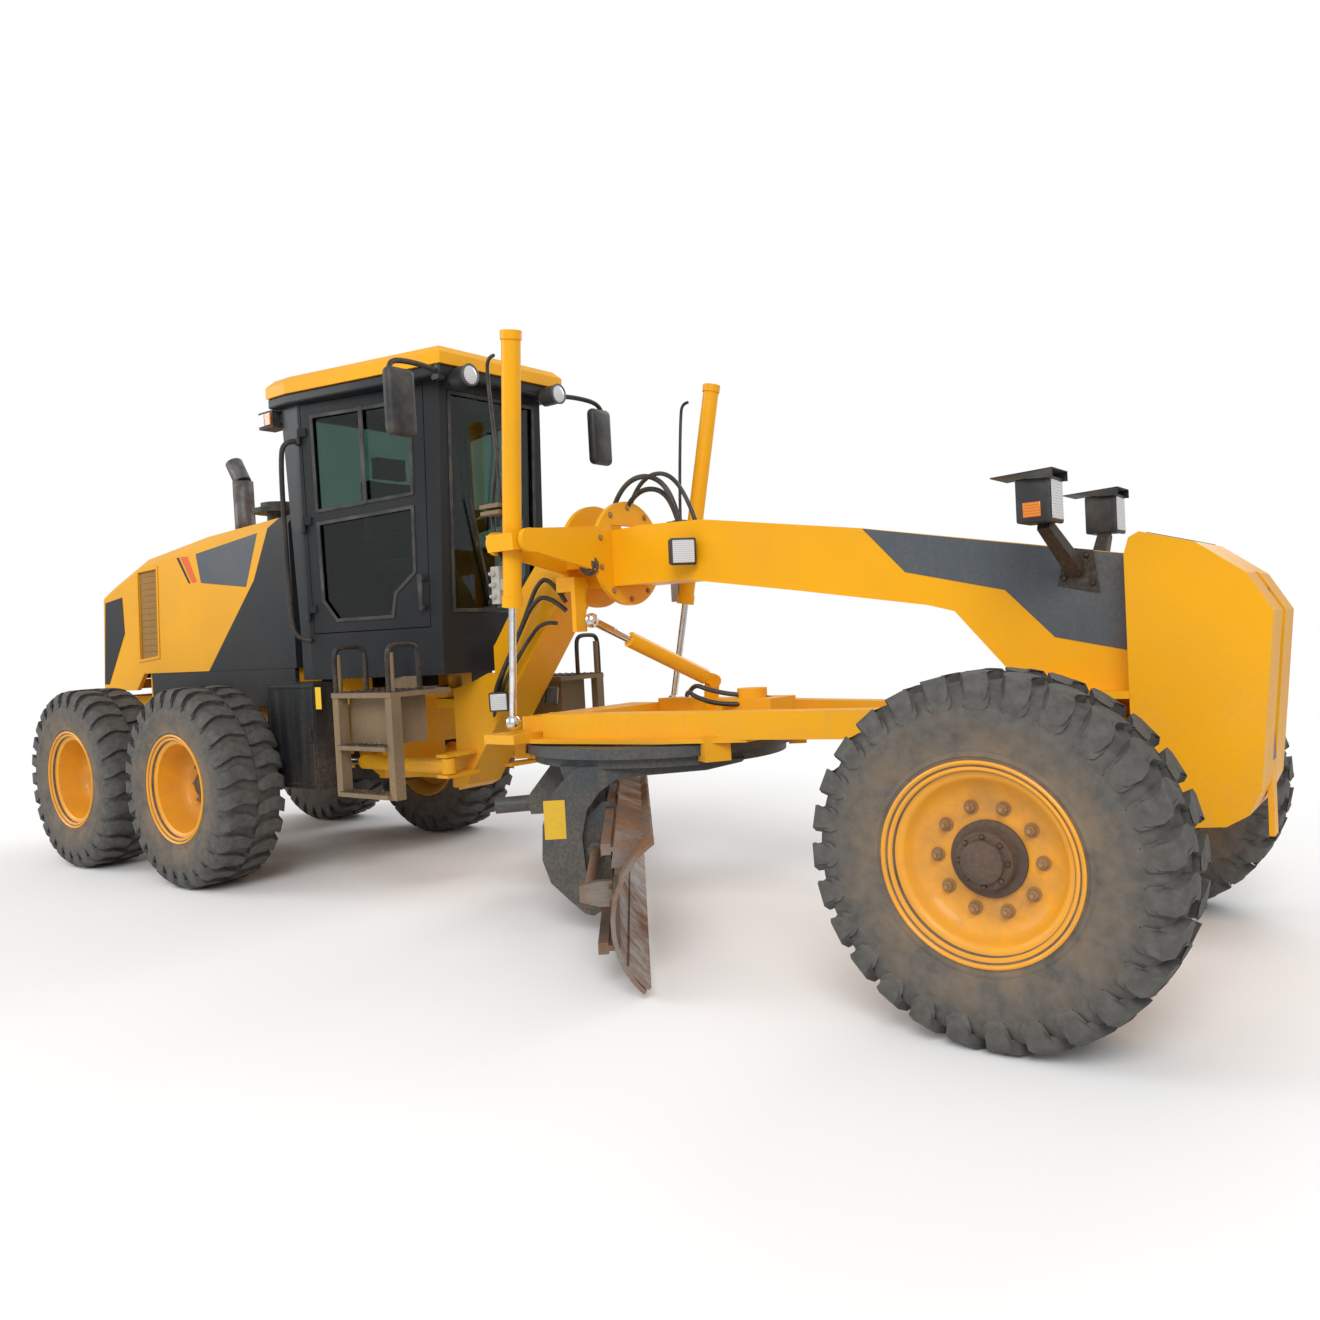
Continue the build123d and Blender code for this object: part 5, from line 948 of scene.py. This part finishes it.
# %% Treads with studs, hooped rails and blank labels
TREADS = [
    # low and high y, low and high x, z
    (0.852, 0.958, -0.490, -0.045, 0.6763), (0.852, 0.958, -0.490, -0.045, 0.9563),
    (0.600, 0.938, -0.545, 0.005, 1.2703),
]
TREAD_THICK, STUD_COLUMNS = 0.004, 9
RAIL_HOOP = [(0.925, 1.275), (0.925, 1.36), (0.925, 1.49), (0.905, 1.535), (0.860, 1.545), (0.760, 1.545),
             (0.715, 1.530), (0.700, 1.49), (0.700, 1.36), (0.700, 1.275)]
BOX_SIDE = 0.7803
for side_name, side in SIDES.items():
    shape = bmesh.new()
    for low_y, high_y, low_x, high_x, z in TREADS:
        near, far = sorted((side * low_y, side * high_y))
        add_box(shape, (low_x, near, z), (high_x, far, z + TREAD_THICK))
        rows = max(2, round((high_y - low_y) / 0.05))
        for row in range(rows):
            for column in range(STUD_COLUMNS):
                spot = (low_x + 0.03 + column * (high_x - low_x - 0.06) / (STUD_COLUMNS - 1),
                        near + (row + 0.5) * (far - near) / rows, z + TREAD_THICK)
                add_turned(shape, [(0.010, 0), (0.006, 0.005), (0, 0.005)], spot, "z", 6)
    keep(shape, f"step_treads_{side_name}", "machine", black_steel, smooth=False)
    for place, x in (("rear", -0.519), ("front", -0.018)):
        hoop = [(x, side * y, z) for y, z in RAIL_HOOP]
        bent_tube(f"step_rail_{place}_{side_name}", "machine", hoop, 0.015, black_steel)
    plate_piece(f"side_box_label_{side_name}", "machine", blank_label,
                rectangle(-0.945, 1.16, -0.885, 1.30), side * BOX_SIDE, side * 0.7812)
    shape = bmesh.new()
    add_frame(shape, rectangle(-1.48, 0.66, -0.975, 1.315), side * BOX_SIDE, side * 0.786, 0.02)
    side_box(shape, side, (-1.02, -0.995), (0.79, 0.008), (0.95, 1.03))
    keep(shape, f"side_box_frame_{side_name}", "machine", cab_grey, bevel=0.003)
print("steps done")

# %% [markdown]
# ## Hoses and fittings round the lift gear
# Hydraulic hoses lie along the frame and the lift barrels. Each is a NURBS tube through a handful
# of points, because a hose bends in wide, even curves. Each rides stiffly on one body.

# %% Hoses, valve blocks, clamps and the lock pin
HOSES = [
    # name, body, radius, route
    ("ring_loop_a", "front_section", 0.015, [
        (0.98, -0.06, 2.18), (1.02, -0.06, 2.30), (1.14, -0.05, 2.42), (1.30, -0.04, 2.42),
        (1.42, -0.03, 2.30), (1.46, -0.03, 2.13)]),
    ("ring_loop_b", "front_section", 0.015, [
        (0.98, 0.02, 2.18), (1.03, 0.02, 2.26), (1.15, 0.02, 2.36), (1.29, 0.02, 2.35), (1.38, 0.02, 2.26),
        (1.42, 0.02, 2.13)]),
    ("ring_loop_c", "front_section", 0.013, [
        (0.98, 0.09, 2.18), (1.02, 0.09, 2.32), (1.16, 0.08, 2.45), (1.33, 0.07, 2.44), (1.46, 0.06, 2.28),
        (1.52, 0.05, 2.12)]),
    ("neck_hose_a", "front_section", 0.014, [
        (0.70, -0.165, 1.74), (0.60, -0.19, 1.90), (0.50, -0.20, 1.86), (0.40, -0.21, 1.66),
        (0.30, -0.22, 1.50), (0.22, -0.22, 1.38), (0.14, -0.20, 1.27), (0.08, -0.17, 1.18),
        (0.06, -0.14, 1.10)]),
    ("neck_hose_b", "front_section", 0.014, [
        (0.70, -0.165, 1.69), (0.58, -0.20, 1.80), (0.47, -0.22, 1.74), (0.37, -0.23, 1.58),
        (0.28, -0.24, 1.44), (0.20, -0.24, 1.33), (0.11, -0.21, 1.23), (0.05, -0.17, 1.14),
        (0.02, -0.14, 1.06)]),
    ("neck_hose_c", "front_section", 0.012, [
        (0.62, -0.165, 1.62), (0.52, -0.19, 1.64), (0.40, -0.20, 1.52), (0.30, -0.21, 1.40),
        (0.21, -0.21, 1.30), (0.13, -0.19, 1.20), (0.12, -0.14, 1.10)]),
    ("barrel_hose", "lift_cylinder_right", 0.013, [
        (0.842, -0.800, 1.96), (0.800, -0.800, 2.06), (0.770, -0.790, 2.22), (0.790, -0.780, 2.38),
        (0.840, -0.790, 2.52), (0.862, -0.812, 2.56)]),
    ("drawbar_hose_a", "blade_drawbar", 0.013, [
        (1.50, -0.10, 1.18), (1.55, -0.16, 1.21), (1.64, -0.22, 1.18), (1.76, -0.20, 1.14),
        (1.88, -0.10, 1.13), (1.98, -0.02, 1.135)]),
    ("drawbar_hose_b", "blade_drawbar", 0.013, [
        (1.46, -0.02, 1.19), (1.52, -0.06, 1.24), (1.64, -0.10, 1.21), (1.78, -0.08, 1.18),
        (1.90, 0.00, 1.17), (2.00, 0.06, 1.135)]),
]
BARREL_PIPE = [(0.862, 0.793, 1.86), (0.858, 0.795, 1.95), (0.858, 0.806, 2.40), (0.862, 0.858, 2.94),
               (0.880, 0.862, 3.02), (0.925, 0.862, 3.02)]
CYLINDER_Y = 0.80
FITTING = [(0, 0), (0.016, 0), (0.016, 0.018), (0.010, 0.022), (0.010, 0.035), (0, 0.035)]
for name, body, radius, route in HOSES:
    bent_tube(name, body, route, radius, hose_rubber)
for side_name, side in SIDES.items():
    body = f"lift_cylinder_{side_name}"
    bent_tube("barrel_pipe" if side < 0 else "barrel_pipe_left", body, on_side(BARREL_PIPE, side), 0.010,
              hose_rubber)
    shape = bmesh.new()
    side_box(shape, side, (0.775, 0.835), (CYLINDER_Y, 0.030), (1.73, 1.93))
    for z in (1.77, 1.83, 1.89):
        add_turned(shape, FITTING, (0.80, side * 0.83, z), (0, side, 0), 6)
    side_box(shape, side, (0.830, 0.880), (CYLINDER_Y, 0.020), (1.80, 1.86))
    keep(shape, f"valve_block_{side_name}", body, block_metal, bevel=0.004)
    shape = bmesh.new()
    for z, y in ((2.20, 0.822), (2.235, 0.825)):
        side_box(shape, side, (0.760, 0.900), (y, 0.045), (z, z + 0.022))
    for x in (0.79, 0.85):
        add_bolt(shape, (x, side * 0.825, 2.257), (0, 0, 1), 0.009, 0.010)
    keep(shape, f"hose_clamp_{side_name}", body, sandy_steel, bevel=0.003)

RING_X, RING_Z, RING_BOLTS, BOLT_CIRCLE = 1.065, 2.0, 10, 0.265
shape = bmesh.new()
for place in range(RING_BOLTS):
    turn = math.tau * (place + 0.5) / RING_BOLTS
    spot = (RING_X, BOLT_CIRCLE * math.cos(turn), RING_Z + BOLT_CIRCLE * math.sin(turn))
    add_bolt(shape, spot, (1, 0, 0), 0.013, 0.012)
keep(shape, "ring_bolts", "front_section", nut_steel)
PIN_AXIS = (0.25, -1, -0.15)
PIN_CAP = [(0, 0), (0.058, 0), (0.060, 0.012), (0.046, 0.020), (0.044, 0.045), (0.028, 0.050), (0, 0.051)]
shape = bmesh.new()
add_turned(shape, PIN_CAP, (1.02, -0.302, 1.93), PIN_AXIS, 32)
for turn in range(6):
    spot = (1.022 + 0.045 * math.cos(turn), -0.314, 1.93 + 0.045 * math.sin(turn))
    add_bolt(shape, spot, PIN_AXIS, 0.007, 0.008)
keep(shape, "lock_pin_cap", "front_section", hub_cast)
print("hoses and pipes", len(HOSES) + 2)

# %% [markdown]
# ## The driver's seat
# A suspension seat has a crowned cushion and a back with a waist, both sewn from padded cloth.
# Each pad is a block that is subdivided, crowned in the middle and drawn in between its
# corners. It is small and behind glass, so shaping by vertex moves is enough.

# %% Cushion, back, head rest and pedestal
WAIST = 0.05
CHANNEL_AT, CHANNEL_HALF, CHANNEL_DEEP = 0.62, 0.08, 0.010


def pad(name, low, high, crown, face, replaces=()):
    """A padded block from low to high, crowned on the high side of its face's axis."""
    low, high = Vector(low), Vector(high)
    middle, half = (low + high) / 2, (high - low) / 2
    first, second = (i for i in range(3) if i != face)
    shape = bmesh.new()
    bmesh.ops.create_cube(shape, size=2.0)
    bmesh.ops.subdivide_edges(shape, edges=list(shape.edges), cuts=7, use_grid_fill=True)
    for vert in shape.verts:
        u = vert.co.copy()
        place = Vector(u[i] * half[i] for i in range(3))
        place[first] *= 1 - WAIST * (1 - u[second] ** 2)
        place[second] *= 1 - WAIST * (1 - u[first] ** 2)
        if u[face] > 0:
            place[face] += crown * (1 - u[first] ** 2) * (1 - u[second] ** 2)
        if u[face] > 0.9 and abs(abs(u[second]) - CHANNEL_AT) < CHANNEL_HALF:
            place[face] -= CHANNEL_DEEP
        vert.co = middle + place
    piece = keep(shape, name, "machine", seat_cloth, replaces=replaces)
    soft = piece.modifiers.new("soft", "SUBSURF")
    soft.levels = 2
    soft.render_levels = 2


SEAT_X = -0.78
pad("seat_cushion", (SEAT_X - 0.22, -0.235, 2.03), (SEAT_X + 0.24, 0.235, 2.118), 0.018, 2,
    replaces=("seat",))
pad("seat_back", (SEAT_X - 0.32, -0.225, 2.13), (SEAT_X - 0.235, 0.225, 2.685), 0.016, 0)
pad("head_rest", (SEAT_X - 0.31, -0.13, 2.70), (SEAT_X - 0.245, 0.13, 2.85), 0.008, 0)
FOLD = 0.045
shape = bmesh.new()
add_box(shape, (SEAT_X - 0.16, -0.16, 1.6355), (SEAT_X + 0.16, 0.16, 1.70))
for step in range(6):
    half, z = (0.145 + 0.012 if step % 2 else 0.145), 1.70 + step * FOLD
    add_box(shape, (SEAT_X - half, -half, z), (SEAT_X + half, half, z + FOLD))
add_box(shape, (SEAT_X - 0.20, -0.20, 1.97), (SEAT_X + 0.20, 0.20, 2.03))
for side in SIDES.values():
    side_box(shape, side, (SEAT_X - 0.20, SEAT_X + 0.12), (0.275, 0.025), (2.26, 2.30))
    side_box(shape, side, (SEAT_X - 0.24, SEAT_X - 0.20), (0.262, 0.010), (2.10, 2.30))
keep(shape, "seat_pedestal", "machine", black_plastic, bevel=0.008)
print("seat padded")

# %% [markdown]
# ## Cutting edge and its bolts
# Replaceable edges are bolted along the foot of the blade, and an end bit closes each end. The
# outlines are given in the blade's own frame, which stands at an angle to the machine.

# %% Blade edge, end bits and bolts
BLADE_ANGLE = math.radians(39)
ALONG = Vector((math.sin(BLADE_ANGLE), -math.cos(BLADE_ANGLE), 0))
NORMAL = Vector((math.cos(BLADE_ANGLE), math.sin(BLADE_ANGLE), 0))
CIRCLE_CENTRE = Vector((1.22, 0, 0))
BLADE_LOW, BLADE_HIGH = -1.976, 1.682
EDGE_OUTLINE = [(-0.135, 0.046), (-0.160, 0.062), (-0.232, 0.145), (-0.213, 0.152), (-0.146, 0.075),
                (-0.125, 0.056)]
END_BIT = [(-0.268, 0.22), (-0.262, 0.50), (-0.240, 0.50), (-0.246, 0.22)]
END_BIT_WIDTH, EDGE_BOLTS, FIRST_BOLT = 0.16, 17, 0.12


def blade_place(n, t, z):
    return CIRCLE_CENTRE + NORMAL * n + ALONG * t + Vector((0, 0, z))


def across_blade(shape, outline, start, end):
    for vert in add_plate(shape, outline, start, end):
        vert.co = blade_place(*vert.co)


shape = bmesh.new()
across_blade(shape, EDGE_OUTLINE, BLADE_LOW, BLADE_HIGH)
keep(shape, "cutting_edge", "grader_blade", blade_steel, bevel=0.002)
shape = bmesh.new()
for end, sign in ((BLADE_LOW, 1), (BLADE_HIGH, -1)):
    across_blade(shape, END_BIT, end, end + sign * END_BIT_WIDTH)
    for z in (0.26, 0.33, 0.40, 0.47):
        add_bolt(shape, blade_place(-0.268, end + sign * END_BIT_WIDTH / 2, z), -NORMAL, 0.013, 0.016)
UNDER_EDGE = (-NORMAL + Vector((0, 0, -0.9))).normalized()
for step in range(EDGE_BOLTS):
    t = BLADE_LOW + FIRST_BOLT + step * (BLADE_HIGH - BLADE_LOW - 2 * FIRST_BOLT) / (EDGE_BOLTS - 1)
    add_bolt(shape, blade_place(-0.208, t, 0.108), UNDER_EDGE, 0.012, 0.012)
keep(shape, "blade_end_bits", "grader_blade", hub_cast, bevel=0.002)
print("edge bolts", EDGE_BOLTS)

# %% [markdown]
# ## Nose and circle details
# The counterweight's face carries one dark upright strip, its top has a dark field behind the
# lip, and a blank yellow plate sits on each arm that holds the blade.

# %% Nose strip, top field and blank plates
NOSE_LIP_X, NOSE_TOP_Z, NOSE_SLOPE = 3.89, 1.8305, 0.30
ARM_SIDE = 0.636
shape = bmesh.new()
add_plate(shape, rectangle(3.90, -0.20, 4.08, 0.20), 0, 0.003, "z")
for vert in shape.verts:
    vert.co.z += NOSE_TOP_Z - (vert.co.x - NOSE_LIP_X) * NOSE_SLOPE
keep(shape, "nose_recess", "front_section", slate_field, bevel=0.001)
shape = bmesh.new()
add_box(shape, (4.288, -0.042, 0.90), (4.2925, 0.042, 1.58))
keep(shape, "nose_strip", "front_section", slate_field, bevel=0.001)
for side_name, side in SIDES.items():
    shape = bmesh.new()
    across_blade(shape, rectangle(-0.630, 0.50, -0.520, 0.70), side * ARM_SIDE, side * (ARM_SIDE + 0.0015))
    keep(shape, f"arm_label_{side_name}", "blade_circle", blank_label)
print("nose and arms")
